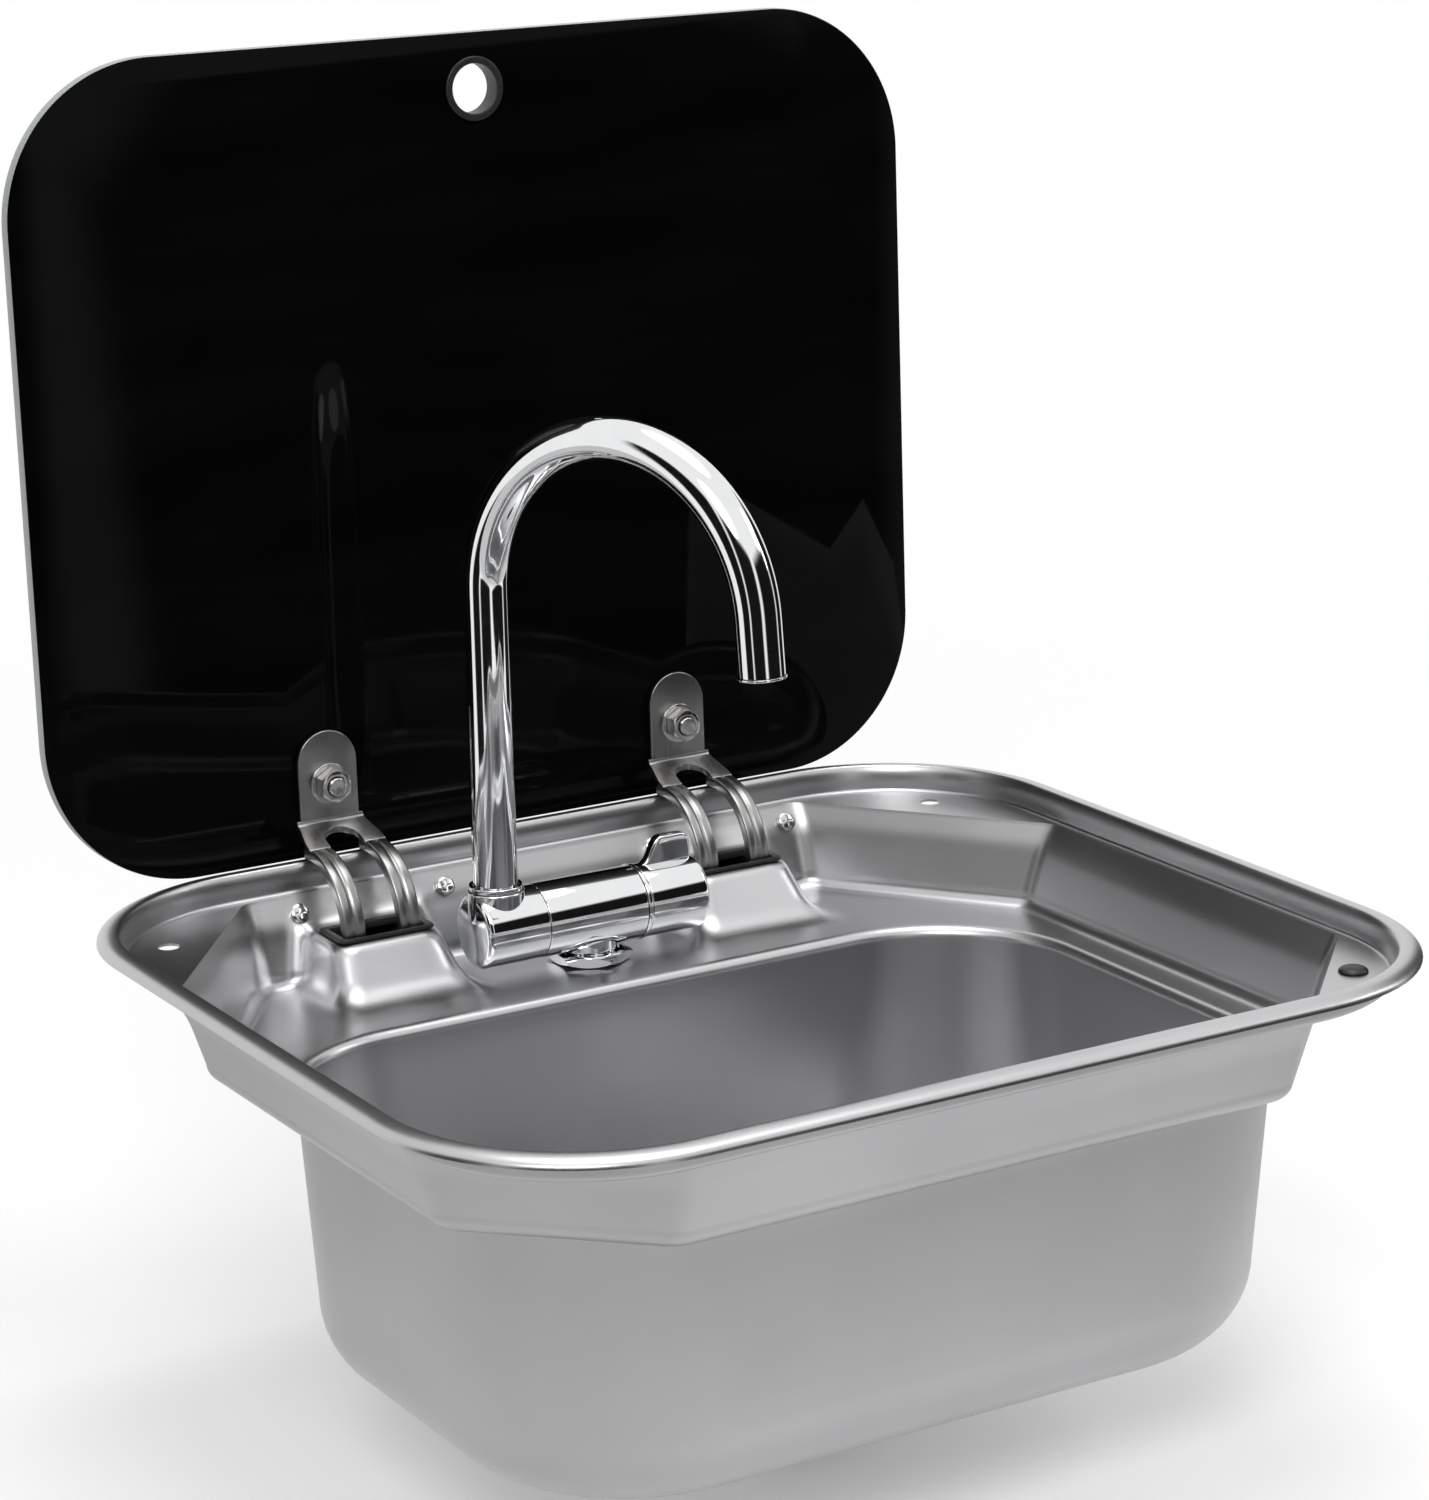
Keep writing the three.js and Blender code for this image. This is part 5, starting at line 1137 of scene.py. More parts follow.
def seal_shape():
    inner = [grown(one, -SHEET - GAP, -SHEET - GAP) for one in rim_edge_levels(8)]
    top = [one for one in inner if one["z"] > SEAL_START]
    foot_out, foot_in = {**top[0], "z": 0.0}, {**top[-1], "z": 0.0}
    return skinned([level_ring(one, 8) for one in [foot_out, *top, foot_in]], "joined")


def bumper_shape():
    top, seat = PIVOT_Z + LID_FACE - GAP, GAP - LEDGE_DEPTH
    stem, catch = LEDGE_HOLE_RADIUS - GAP, -LEDGE_DEPTH - SHEET - GAP
    dome = [(BUMPER_RADIUS * math.cos(t), seat + (top - seat) * math.sin(t), 0) for t in quarter(8)]
    tip = catch - BUMPER_BARB_LENGTH
    barb = [(0, tip), (stem - BUMPER_BARB, tip), (stem + BUMPER_BARB, catch), (stem, catch)]
    return turned(barb + [(stem, seat), (BUMPER_RADIUS, seat)] + dome, segments=64)


fitted(made("rim_gasket", seal_shape()), "rim_seal", "sink", RUBBER)
for side, name in SIDES:
    bumper = made(f"bumper_{name}", moved(bumper_shape(), side * LEDGE_HOLE_X, -LEDGE_HOLE_Y))
    fitted(bumper, f"lid_bumper_{name}", "sink", RUBBER)
print("seal and 2 bumpers")

# %% [markdown]
# Each slot in a hinge bump has a black plastic bezel, so that the steel arm never scrapes the sheet.
# Behind it a plastic tub carries the hinge pin, a plain headed rod. The tub is hidden but for its
# inside, so the CAD node stays and gets a finish, and a thin wall closes its back, so that no daylight
# shows between the arms. The bezel is seen from near, so it is a finer skin over its own small levels.

# %% Bezels, tubs and pins
BEZEL_WALL = 1
BEZEL_LIP = 2.1
BEZEL_LIP_FRONT = 0.7
BEZEL_RISE = 1.2
BEZEL_EASE = 0.5
BEZEL_MOUTH_DROP, BEZEL_MOUTH_SPREAD = 0.4, 0.3
ARM_HALF = 16.5  # from the middle of a leaf to the outside of an arm
CHEEK_GAP = 2.1
CHEEK = 2.5
CHEEK_OUTER = ARM_HALF + CHEEK_GAP + CHEEK
TUB_REACH = 7.2  # from the pin to the tub's open back
TUB_DROP = 33  # from the pin to the tub's floor
TUB_RISE = 5  # over the top of the bump
TUB_BACK = 1.2
PIN_RADIUS = 2.5
PIN_HEAD = 1.5
PIN_HEAD_RADIUS = 4


def bezel_shape(x):
    foot, top = GAP - BUMP_DEPTH, GAP - BUMP_DEPTH + BEZEL_RISE
    under = -BUMP_DEPTH - SHEET - GAP
    lip_front, lip_back = SLOT_FRONT - BEZEL_LIP_FRONT, SLOT_BACK + BEZEL_LIP
    half_x, half_y = SLOT_HALF + BEZEL_LIP, (lip_back - lip_front) / 2

    def lip(inset, z):
        return round_level(half_x - inset, half_y - inset, SLOT_CORNER, z, x, lip_front + half_y)

    part_ease = 0.3 * BEZEL_EASE
    wall = -GAP - BEZEL_WALL
    levels = [lip(BEZEL_EASE, top), lip(part_ease, top - part_ease), lip(0, top - BEZEL_EASE), lip(0, foot)]
    levels += [slot_level(-GAP, foot, x), slot_level(-GAP, under, x), slot_level(wall, under, x)]
    levels += [slot_level(wall, top - BEZEL_MOUTH_DROP, x), slot_level(wall + BEZEL_MOUTH_SPREAD, top, x)]
    return skinned([level_ring(one, 6) for one in levels], "joined")


def tub_back_shape():
    back = PIVOT_Y + TUB_REACH
    floor, top = PIVOT_Z - TUB_DROP, -BUMP_DEPTH + TUB_RISE
    corners = [(-CHEEK_OUTER, floor), (CHEEK_OUTER, floor), (CHEEK_OUTER, top), (-CHEEK_OUTER, top)]
    return run_through(corners, in_front_view, back, back + TUB_BACK)


def pin_shape():
    head = CHEEK_OUTER + GAP
    return turned([
        (0, -CHEEK_OUTER),
        (PIN_RADIUS, -CHEEK_OUTER),
        (PIN_RADIUS, head, 0),
        (PIN_HEAD_RADIUS, head),
        (PIN_HEAD_RADIUS, head + PIN_HEAD),
        (0, head + PIN_HEAD),
    ], "X", 0.4, segments=48)


for side, name in SIDES:
    tub_back = made(f"tub_back_{name}", moved(tub_back_shape(), side * HINGE_X), bevel=0.3)
    tub_back.data.materials.append(BLACK_PLASTIC)
    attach(tub_back, "sink")
    bezel = made(f"bezel_{name}", bezel_shape(side * HINGE_X))
    fitted(bezel, f"slot_bezel_{name}", "sink", BLACK_PLASTIC)
    pin = made(f"pin_{name}", moved(pin_shape(), side * HINGE_X, PIVOT_Y, PIVOT_Z))
    fitted(pin, f"hinge_pin_{name}", "sink", SCREW_STEEL)
    refinished(f"hinge_housing_{name}", BLACK_PLASTIC)
print("2 bezels, 2 tub backs and 2 pins")

# %% [markdown]
# Two pan-head screws hold each tub. They stand square on the sloped band of the back wall, one each
# side of the bump. A head is turned with a domed top, and its cross is cut with two thin blocks. A
# bump in the finish could draw the cross too, but only a real recess keeps its shadow from near.

# %% Wall screws
SCREW_HEAD_RADIUS = 4
SCREW_HEAD = 2.4
SCREW_LENGTH = 8
CROSS = 0.9  # width of the recess
CROSS_HALF = 2.3
CROSS_FLOOR = 0.35  # of the head's height


def screw_piece(name, x):
    edge = GAP + SCREW_HEAD / 2
    dome = [(SCREW_HEAD_RADIUS * math.cos(t), edge + SCREW_HEAD / 2 * math.sin(t), 0) for t in quarter(8)]
    outline = [
        (0, -SCREW_LENGTH),
        (SCREW_RADIUS, -SCREW_LENGTH),
        (SCREW_RADIUS, GAP, 0),
        (SCREW_HEAD_RADIUS, GAP),
        (SCREW_HEAD_RADIUS, edge, 0),
    ]
    screw = made(name, put(turned(outline + dome, ease=0.25, segments=48), on_band(x)))
    floor, over = GAP + SCREW_HEAD * CROSS_FLOOR, GAP + 2 * SCREW_HEAD
    for a, b in ((CROSS_HALF, CROSS / 2), (CROSS / 2, CROSS_HALF)):
        corners = [(-a, -b), (a, -b), (a, b), (-a, b)]
        worked(screw, put(run_through(corners, in_plan, floor, over), on_band(x)))
    return screw


for number, x in enumerate(SCREW_PLACES, start=1):
    screw = screw_piece(f"wall_screw_{number}", x)
    fitted(screw, f"housing_screw_{number}", "sink", SCREW_STEEL)
print(len(SCREW_PLACES), "screws")

# %% [markdown]
# The lid is a pane of tempered glass, 6 mm thick, with a ground edge. Seen square on it is black
# through and through, and only the edge shows as a thin pale line, so the pane gets two finishes: its
# edge faces take the ground one. It is drawn upright, with the hinge line at the origin, and one
# matrix puts it and everything on it in place, leaning back a little.

# %% Glass lid and finger ring
LID_LEAN = math.radians(1.35)
LID_PLACE = Matrix.Translation(Vector((0, PIVOT_Y, PIVOT_Z)) * MM) @ Matrix.Rotation(-LID_LEAN, 4, "X")
LID_LENGTH = 395
LID_HEIGHT = 319
LID_CORNER = 61
LID_FOOT = 22  # from the hinge line up to the lower edge
GLASS = 6
GLASS_EDGE = 0.8
FINGER_HOLE_RADIUS = 11.3
FINGER_HOLE_INSET = 22  # from the upper edge
FINGER_HOLE_HEIGHT = LID_FOOT + LID_HEIGHT - FINGER_HOLE_INSET
FINGER_RING_BORE = 9.75
FINGER_RING_LIP = 1.2
FINGER_RING_OVERLAP = 1.3
BOLT_HEIGHT = 51.9
BOLT_RADIUS = 3.6
DRILL_PAST = 5


def pane_shape():
    middle = LID_FOOT + LID_HEIGHT / 2
    part_edge = GLASS_EDGE * 0.3
    depths = [(GLASS_EDGE, 0), (part_edge, part_edge), (0, GLASS_EDGE)]
    depths += [(inset, GLASS - depth) for inset, depth in reversed(depths)]
    rings = []
    for inset, depth in depths:
        half_x, half_y = LID_LENGTH / 2 - inset, LID_HEIGHT / 2 - inset
        ring = level_ring(round_level(half_x, half_y, LID_CORNER - inset, 0, 0, middle), 20)
        rings.append(np.column_stack((ring[:, 0], np.full(len(ring), LID_FACE + depth), ring[:, 1])))
    return skinned(rings, "capped")


def through_glass(radius, x, height):
    return moved(rod(radius, LID_FACE - DRILL_PAST, LID_FACE + GLASS + DRILL_PAST, "Y", 96), x, 0, height)


def finger_ring_shape():
    stem, rim = FINGER_HOLE_RADIUS - GAP, FINGER_HOLE_RADIUS + FINGER_RING_OVERLAP
    near, far = LID_FACE - GAP, LID_FACE + GLASS + GAP
    near_lip = [(FINGER_RING_BORE, near - FINGER_RING_LIP), (rim, near - FINGER_RING_LIP), (rim, near)]
    far_lip = [(rim, far), (rim, far + FINGER_RING_LIP), (FINGER_RING_BORE, far + FINGER_RING_LIP)]
    outline = near_lip + [(stem, near, 0), (stem, far, 0)] + far_lip
    return moved(turned(outline, "Y", 0.55, ring=True), 0, 0, FINGER_HOLE_HEIGHT)


pane = made("lid_pane", pane_shape())
holes = [through_glass(BOLT_RADIUS + GAP, side * HINGE_X, BOLT_HEIGHT) for side, _ in SIDES]
worked(pane, joined(through_glass(FINGER_HOLE_RADIUS, 0, FINGER_HOLE_HEIGHT), *holes))
pane.data.transform(LID_PLACE)
fitted(pane, "glass_lid", "lid", BLACK_GLASS)
pane.data.materials.append(GROUND_EDGE)
for face in pane.data.polygons:
    face.material_index = 1 if abs(face.normal.y) < 0.9 else 0
finger_ring = made("finger_ring", finger_ring_shape(), LID_PLACE)
fitted(finger_ring, "finger_hole_ring", "lid", BLACK_PLASTIC)
edge_faces = sum(face.material_index for face in pane.data.polygons)
print("pane", LID_LENGTH, "by", LID_HEIGHT, "mm with", edge_faces, "edge faces")

# %% [markdown]
# A hinge leaf is blanked from strip and bent: a tongue that is bolted to the glass, a ramp forwards
# with a round-ended opening, and two arms that curve down through the slot to the pin. Tongue and ramp
# come first. The tongue is a flat outline run through the strip's thickness. The ramp has two outlines,
# one seen from the side and one from above, and it is what lies inside both.

# %% Tongue and ramp of a leaf
LEAF = 2  # thickness of the strip
PAD = 0.6  # rubber between the tongue and the glass
TONGUE_RADIUS = 12.8
TONGUE_TOP = 73.2
TONGUE_BACK = LID_FACE - PAD - 2 * GAP
TONGUE_FRONT = TONGUE_BACK - LEAF
BEND_HEIGHT = 38
SHOULDER_HALF = 14.4
LEAF_OPENING_RADIUS = 7.5
ARM_RADIUS = 30


def arc(cx, cy, radius, start, end, steps=24):
    angles = np.linspace(start, end, steps + 1)
    return [(cx + radius * math.cos(t), cy + radius * math.sin(t)) for t in angles]


def tongue_shape():
    springing = TONGUE_TOP - TONGUE_RADIUS
    outline = [(-TONGUE_RADIUS, BEND_HEIGHT - LEAF), (TONGUE_RADIUS, BEND_HEIGHT - LEAF)]
    outline += arc(0, springing, TONGUE_RADIUS, 0, math.pi, 32)
    return run_through(outline, in_front_view, TONGUE_FRONT, TONGUE_BACK)


def ramp_side():
    return softened([
        (TONGUE_BACK, BEND_HEIGHT, 0.2),
        (TONGUE_FRONT, BEND_HEIGHT, 0.2),
        (TONGUE_FRONT - 0.4, BEND_HEIGHT - LEAF * 0.75, 2.2),
        (-LEAF, ARM_RADIUS, 0.4),
        (-LEAF, ARM_RADIUS - LEAF, 0.2),
        (TONGUE_FRONT, BEND_HEIGHT - 2 * LEAF, 1),
        (TONGUE_BACK, BEND_HEIGHT - LEAF, 0.2),
    ], 0.2, closed=True)


def ramp_plan():
    opening = TONGUE_FRONT - LEAF - LEAF_OPENING_RADIUS - LEAF
    right = [
        (LEAF_OPENING_RADIUS, -2 * LEAF),
        (ARM_HALF, -2 * LEAF),
        (ARM_HALF, opening, 2),
        (SHOULDER_HALF, TONGUE_FRONT - LEAF, 1.5),
        (SHOULDER_HALF, TONGUE_BACK + LEAF),
    ]
    left = [(-x, y, *ease) for x, y, *ease in reversed(right)]
    outer = softened(right + left, 0)
    return outer + arc(0, opening, LEAF_OPENING_RADIUS, math.pi, 0, 28)


print("tongue", TONGUE_TOP, "mm high over the hinge line")

# %% [markdown]
# The arms are channels, with their flanks turned in and a groove down the back that stiffens them.
# Bending a straight bar with a modifier would do, but the middle of every curve is the pin itself, so
# one section swept round it is exact. A short bar and an eye at the end of each arm hold the pin. The
# four parts of a leaf then become one piece, because they are one strip of steel.

# %% Arms of a leaf
ARM_DEPTH = 4.2
ARM_WALL = 1.7
ARM_GROOVE = 0.7
ARM_GROOVE_WIDTH = 1.3
ARM_TOP_ANGLE, ARM_END_ANGLE = math.radians(98), math.radians(-11)
LINK = 3  # thickness of the bar from an arm's end to the pin
LINK_TOP, LINK_FOOT = -1.4, -6.1
HUB_WALL = 1.2


def arm_shape(side):
    inner, web = ARM_RADIUS - ARM_DEPTH, ARM_RADIUS - ARM_WALL
    near, far = LEAF_OPENING_RADIUS, ARM_HALF
    groove = (near + far) / 2
    section = softened([
        (near, inner),
        (near, ARM_RADIUS, 0.9),
        (groove - ARM_GROOVE_WIDTH, ARM_RADIUS, 0.6),
        (groove, ARM_RADIUS - ARM_GROOVE, 0.6),
        (groove + ARM_GROOVE_WIDTH, ARM_RADIUS, 0.6),
        (far, ARM_RADIUS, 0.9),
        (far, inner),
        (far - ARM_WALL, inner),
        (far - ARM_WALL, web, 0.5),
        (near + ARM_WALL, web, 0.5),
        (near + ARM_WALL, inner),
    ], 0.3, steps=3, closed=True)
    x, radius = np.array(section).T
    rings = []
    for angle in np.linspace(ARM_TOP_ANGLE, ARM_END_ANGLE, 44):
        rings.append(np.stack((side * x, -radius * math.cos(angle), radius * math.sin(angle)), -1))
    return skinned(rings, "capped")


def link_shape(side):
    outer = ARM_HALF - ARM_WALL / 2
    low, high = (-outer, LINK - outer) if side < 0 else (outer - LINK, outer)
    front = ARM_WALL - ARM_RADIUS
    bar = [(front, LINK_FOOT), (0, LINK_FOOT + HUB_WALL), (0, LINK_TOP), (front, LINK_TOP)]
    bore, hub = PIN_RADIUS + GAP, PIN_RADIUS + GAP + HUB_WALL
    ring = [(bore, low), (hub, low), (hub, high), (bore, high)]
    return joined(run_through(bar, in_side_view, low, high), turned(ring, "X", 0.2, ring=True, segments=32))


def leaf_piece(name, x):
    ramp = made(name + "_ramp", run_through(ramp_side(), in_side_view, -ARM_HALF, ARM_HALF))
    worked(ramp, run_through(ramp_plan(), in_plan, 0, 2 * BEND_HEIGHT), "INTERSECT")
    flat = made(name, tongue_shape(), bevel=0.4)
    arms = made(name + "_arms", joined(*[arm_shape(side) for side, _ in SIDES]), sharp=FLOWING)
    links = made(name + "_links", joined(*[link_shape(side) for side, _ in SIDES]), bevel=0.2)
    break_edges(ramp, 0.35, 3, math.radians(40))
    smooth(ramp)
    return merged(flat, ramp, arms, links, place=LID_PLACE @ Matrix.Translation(Vector((x, 0, 0)) * MM))


def merged(first, *others, place=None):
    """Several meshes as one piece."""
    build = bmesh.new()
    for one in (first, *others):
        build.from_mesh(one.data)
    build.to_mesh(first.data)
    build.free()
    for one in others:
        bpy.data.objects.remove(one)
    if place is not None:
        first.data.transform(place)
    return first


for side, name in SIDES:
    leaf = leaf_piece(f"leaf_{name}", side * HINGE_X)
    fitted(leaf, f"hinge_leaf_{name}", "lid", HINGE_STEEL)
print("2 hinge leaves")

# %% [markdown]
# A bolt through the glass holds each leaf: a flat round cap outside, a rubber washer, and on the side
# that the photograph shows a steel washer, a hexagon nut and the end of the stud. A nut's flats are
# cut away in arcs where its ends are turned to a cone. That is what makes it read as a nut, and it
# comes from lowering each point of the end face by how far it lies outside the flats.

# %% Bolts, nuts and washers
BOLT_CAP = 3.2
BOLT_CAP_RADIUS = 10
CAP_WASHER = 1.2
LID_WASHER = 1.3
LID_WASHER_RADIUS = 8.2
LID_NUT = 6
LID_NUT_FLATS = 12
STUD_END = 1.2  # how far the stud shows past the nut
CONE = math.tan(math.radians(30))
CONE_START, NUT_FACE = 0.98, 0.95  # shares of half the distance across the flats
COUNTERSINK = 0.5
NUT_SEAT = TONGUE_FRONT - LID_WASHER - 2 * GAP
CAP_SEAT = LID_FACE + GLASS + GAP


def nut_shape(flats, bore, low, high, axis="Z", segments=144):
    angle = np.linspace(0, 2 * math.pi, segments, endpoint=False)
    reach = flats / 2 / np.cos((angle + math.pi / 6) % (math.pi / 3) - math.pi / 6)
    lowered = (reach - flats / 2 * CONE_START) * CONE
    face, mouth = flats / 2 * NUT_FACE, bore + COUNTERSINK
    steps = [(bore, low + COUNTERSINK), (mouth, low), (face, low), (reach, low + lowered)]
    steps += [(reach, high - lowered), (face, high), (mouth, high), (bore, high - COUNTERSINK)]
    return skinned([along_axis(axis, radius, angle, height) for radius, height in steps], "joined")


def bolt_shape():
    seat = CAP_SEAT + CAP_WASHER + GAP
    tip = NUT_SEAT - LID_NUT - STUD_END
    edge = BOLT_CAP / 2
    dome = [
        (BOLT_CAP_RADIUS - edge * (1 - math.cos(t)), seat + edge * (1 + math.sin(t)), 0)
        for t in quarter(6)
    ]
    shank = [(0, tip), (BOLT_RADIUS, tip, 0.6), (BOLT_RADIUS, seat, 0)]
    cap = [(BOLT_CAP_RADIUS, seat), (BOLT_CAP_RADIUS, seat + edge, 0), *dome, (0, seat + BOLT_CAP)]
    return turned(shank + cap, "Y")


def flat_ring(outer, bore, low, high, axis="Z", ease=0.3, segments=96):
    outline = [(bore, low), (outer, low), (outer, high), (bore, high)]
    return turned(outline, axis, ease, ring=True, segments=segments)


bolt_bore = BOLT_RADIUS + GAP
nut = nut_shape(LID_NUT_FLATS, bolt_bore, NUT_SEAT - LID_NUT, NUT_SEAT, "Y")
washer = flat_ring(LID_WASHER_RADIUS, bolt_bore, NUT_SEAT + GAP, TONGUE_FRONT - GAP, "Y")
cap_washer = flat_ring(BOLT_CAP_RADIUS, bolt_bore, CAP_SEAT, CAP_SEAT + CAP_WASHER, "Y")
FASTENING = {  # CAD node: shape, slot and finish
    "lid_bolt": (bolt_shape(), "hinge_steel", SCREW_STEEL),
    "lid_nut": (nut, "hinge_steel", SCREW_STEEL),
    "lid_washer": (washer, "hinge_steel", SCREW_STEEL),
    "glass_washer": (cap_washer, "rubber", RUBBER),
}
for side, name in SIDES:
    place = LID_PLACE @ Matrix.Translation(Vector((side * HINGE_X, 0, BOLT_HEIGHT)) * MM)
    for node, (shape, slot, finish) in FASTENING.items():
        piece = made(f"{node}_{name}_fine", shape, place, sharp=CRISP)
        fitted(piece, f"{node}_{name}", "lid", finish)
    refinished(f"glass_pad_{name}", RUBBER)
print(2 * len(FASTENING), "fastening pieces")

# %% [markdown]
# The tap is a chromed bar that lies across the shelf. From the left: the block that carries the spout
# and folds forwards, the fixed body on its neck, a thin proud ring, and the knob with its thumb
# paddle. All of it is turned work, apart from the paddle. The body's bore for the cartridge can't be
# seen from any side, so the CAD model alone has it, and here the body is a closed skin.

# %% Tap body, ring and mounting
TAP_AXIS_Z = -21
TAP_RADIUS = 15
TAP_LEFT, TAP_SEAM, TAP_RING_X, TAP_RIGHT = -49.6, -22.5, 22, 51  # stations along the bar
TAP_EDGE = 2.5
TAP_EASE = 0.35
RING_THICKNESS = 1.8
RING_PROUD = 0.4
SPIGOT_RADIUS = 8.5  # the body's journal, on which the spout block folds
SPIGOT_LENGTH = 5
SPINDLE_RADIUS = 4
SPINDLE_LENGTH = 18
NECK_RADIUS = 11
NECK_REACH = 2  # the neck ends this far under the bar's middle
SHANK_LENGTH = 25
COLLAR_FLATS = 30
COLLAR_MARGIN = 0.6
MOUNTING_RADIUS = 17  # gasket and backing washer
TAP_GASKET = 1.2
BACKING_WASHER = 2
LOCKNUT, LOCKNUT_FLATS = 8, 28
INLET_RADIUS, INLET_BORE = 3.8, 2.4
INLET_X = 4.9  # each side of the shank's middle
INLET_LENGTH = 56
INLET_SOCKET = 12  # how far it reaches up into the shank
TAP_PLACE = Matrix.Translation(Vector((0, TAP_Y, TAP_AXIS_Z)) * MM)
BASE_PLACE = Matrix.Translation(Vector((TAP_BASE_X, TAP_Y, 0)) * MM)
SHANK_FOOT = -SHELF_DEPTH - SHANK_LENGTH


def body_shape():
    start, end = TAP_SEAM + GAP / 2, TAP_RING_X - GAP
    spigot = [(0, start - SPIGOT_LENGTH), (SPIGOT_RADIUS, start - SPIGOT_LENGTH), (SPIGOT_RADIUS, start, 0)]
    bar = [(TAP_RADIUS, start, TAP_EASE), (TAP_RADIUS, end, TAP_EASE), (0, end)]
    shelf, foot = GAP - SHELF_DEPTH - TAP_AXIS_Z, SHANK_FOOT - TAP_AXIS_Z
    shank = [(0, foot), (SHANK_RADIUS, foot, 0.6), (SHANK_RADIUS, shelf, 0)]
    neck = [(NECK_RADIUS, shelf, 0), (NECK_RADIUS, -NECK_REACH, 0), (0, -NECK_REACH)]
    stem = turned(shank + neck, ease=0, segments=64)
    return joined(turned(spigot + bar, "X", 0.3, segments=128), moved(stem, TAP_BASE_X))


def ring_band_shape():
    bore, outside, end = SPINDLE_RADIUS + GAP, TAP_RADIUS + RING_PROUD, TAP_RING_X + RING_THICKNESS
    band = [(bore, TAP_RING_X), (outside, TAP_RING_X, 0.5), (outside, end, 0.5), (bore, end)]
    return turned(band, "X", 0.1, ring=True, segments=128)


def mounting_ring(outer, bore, low, high):
    return flat_ring(outer, bore, low, high, ease=0.25, segments=64)


gasket_top = -SHELF_DEPTH - SHEET - GAP
backing_top = gasket_top - TAP_GASKET - GAP
nut_top = backing_top - BACKING_WASHER - GAP
bore = SHANK_RADIUS + GAP
collar_top = TAP_AXIS_Z - TAP_RADIUS - COLLAR_MARGIN
collar_nut = nut_shape(COLLAR_FLATS, NECK_RADIUS + GAP, GAP - SHELF_DEPTH, collar_top)
gasket = mounting_ring(MOUNTING_RADIUS, bore, gasket_top - TAP_GASKET, gasket_top)
backing = mounting_ring(MOUNTING_RADIUS, bore, backing_top - BACKING_WASHER, backing_top)
MOUNTING = {  # CAD node: shape, slot and finish
    "tap_base_collar": (collar_nut, "chrome", CHROME),
    "tap_gasket": (gasket, "rubber", RUBBER),
    "tap_backing_washer": (backing, "screw_steel", SCREW_STEEL),
    "tap_locknut": (nut_shape(LOCKNUT_FLATS, bore, nut_top - LOCKNUT, nut_top), "screw_steel", SCREW_STEEL),
}
fitted(made("tap_barrel", body_shape(), TAP_PLACE), "tap_body", "sink", CHROME)
fitted(made("tap_band", ring_band_shape(), TAP_PLACE), "tap_ring", "sink", CHROME)
for node, (shape, slot, finish) in MOUNTING.items():
    fitted(made(node + "_fine", shape, BASE_PLACE, sharp=CRISP), node, "sink", finish)
inlet_top = SHANK_FOOT + INLET_SOCKET - GAP
inlet = mounting_ring(INLET_RADIUS, INLET_BORE, inlet_top - INLET_LENGTH, inlet_top)
for side, name in SIDES:
    tail = made(f"inlet_pipe_{name}", moved(inlet, side * INLET_X), BASE_PLACE)
    fitted(tail, f"inlet_tail_{name}", "sink", COPPER)
refinished("tap_cartridge", GREY_PLASTIC)
print("tap body, ring,", len(MOUNTING), "mounting pieces and 2 inlets")

# %% [markdown]
# The knob is the end of the bar, turned on its own spindle, and a thumb paddle stands up from it. Its
# outline climbs gently from the left and falls steeply on the right, so it is two cubic curves with a
# flat top between them. A wide bevel then rounds it over, until knob and paddle read as one casting.

# %% Knob and paddle
KNOB_START = TAP_RING_X + RING_THICKNESS + GAP
PADDLE = 5  # thickness
PADDLE_HEIGHT = 10.5
PADDLE_MARGIN = 1.2
PADDLE_TOP_LEFT, PADDLE_TOP_RIGHT = 9, 22


def curve(start, first, second, end, steps=14):
    """Points of a cubic curve, its start left out."""
    start, first, second, end = (np.array(p, float) for p in (start, first, second, end))
    points = []
    for t in np.linspace(0, 1, steps + 1)[1:]:
        left = 1 - t
        pull = 3 * t * left ** 2 * first + 3 * t * t * left * second
        points.append(left ** 3 * start + pull + t ** 3 * end)
    return points


def knob_shape():
    tip = KNOB_START - SPINDLE_LENGTH
    spindle = [(0, tip), (SPINDLE_RADIUS, tip), (SPINDLE_RADIUS, KNOB_START, 0)]
    side = [(TAP_RADIUS, KNOB_START, TAP_EASE), (TAP_RADIUS, TAP_RIGHT - TAP_EDGE, 0)]
    edge = [
        (TAP_RADIUS - TAP_EDGE * (1 - math.cos(t)), TAP_RIGHT - TAP_EDGE * (1 - math.sin(t)), 0)
        for t in quarter(8)
    ]
    return turned(spindle + side + edge + [(0, TAP_RIGHT)], "X", 0.3, segments=128)


def paddle_shape():
    root, flank, top = TAP_RADIUS - TAP_EDGE, TAP_RADIUS - GAP, TAP_RADIUS + PADDLE_HEIGHT
    left, right = KNOB_START + PADDLE_MARGIN, TAP_RIGHT - TAP_EDGE
    top_left, top_right = KNOB_START + PADDLE_TOP_LEFT, KNOB_START + PADDLE_TOP_RIGHT
    fall = [(right, flank), (right, top - TAP_EDGE), (top_right + TAP_EDGE, top), (top_right - TAP_EDGE, top)]
    outer_left = top_left - TAP_EDGE
    climb = [(top_left + TAP_EDGE, top), (outer_left, top), (outer_left, flank), (left, flank)]
    outline = [(left, root), (right, root), fall[0], *curve(*fall), climb[0], *curve(*climb)]
    return run_through(outline, in_front_view, -PADDLE / 2, PADDLE / 2)


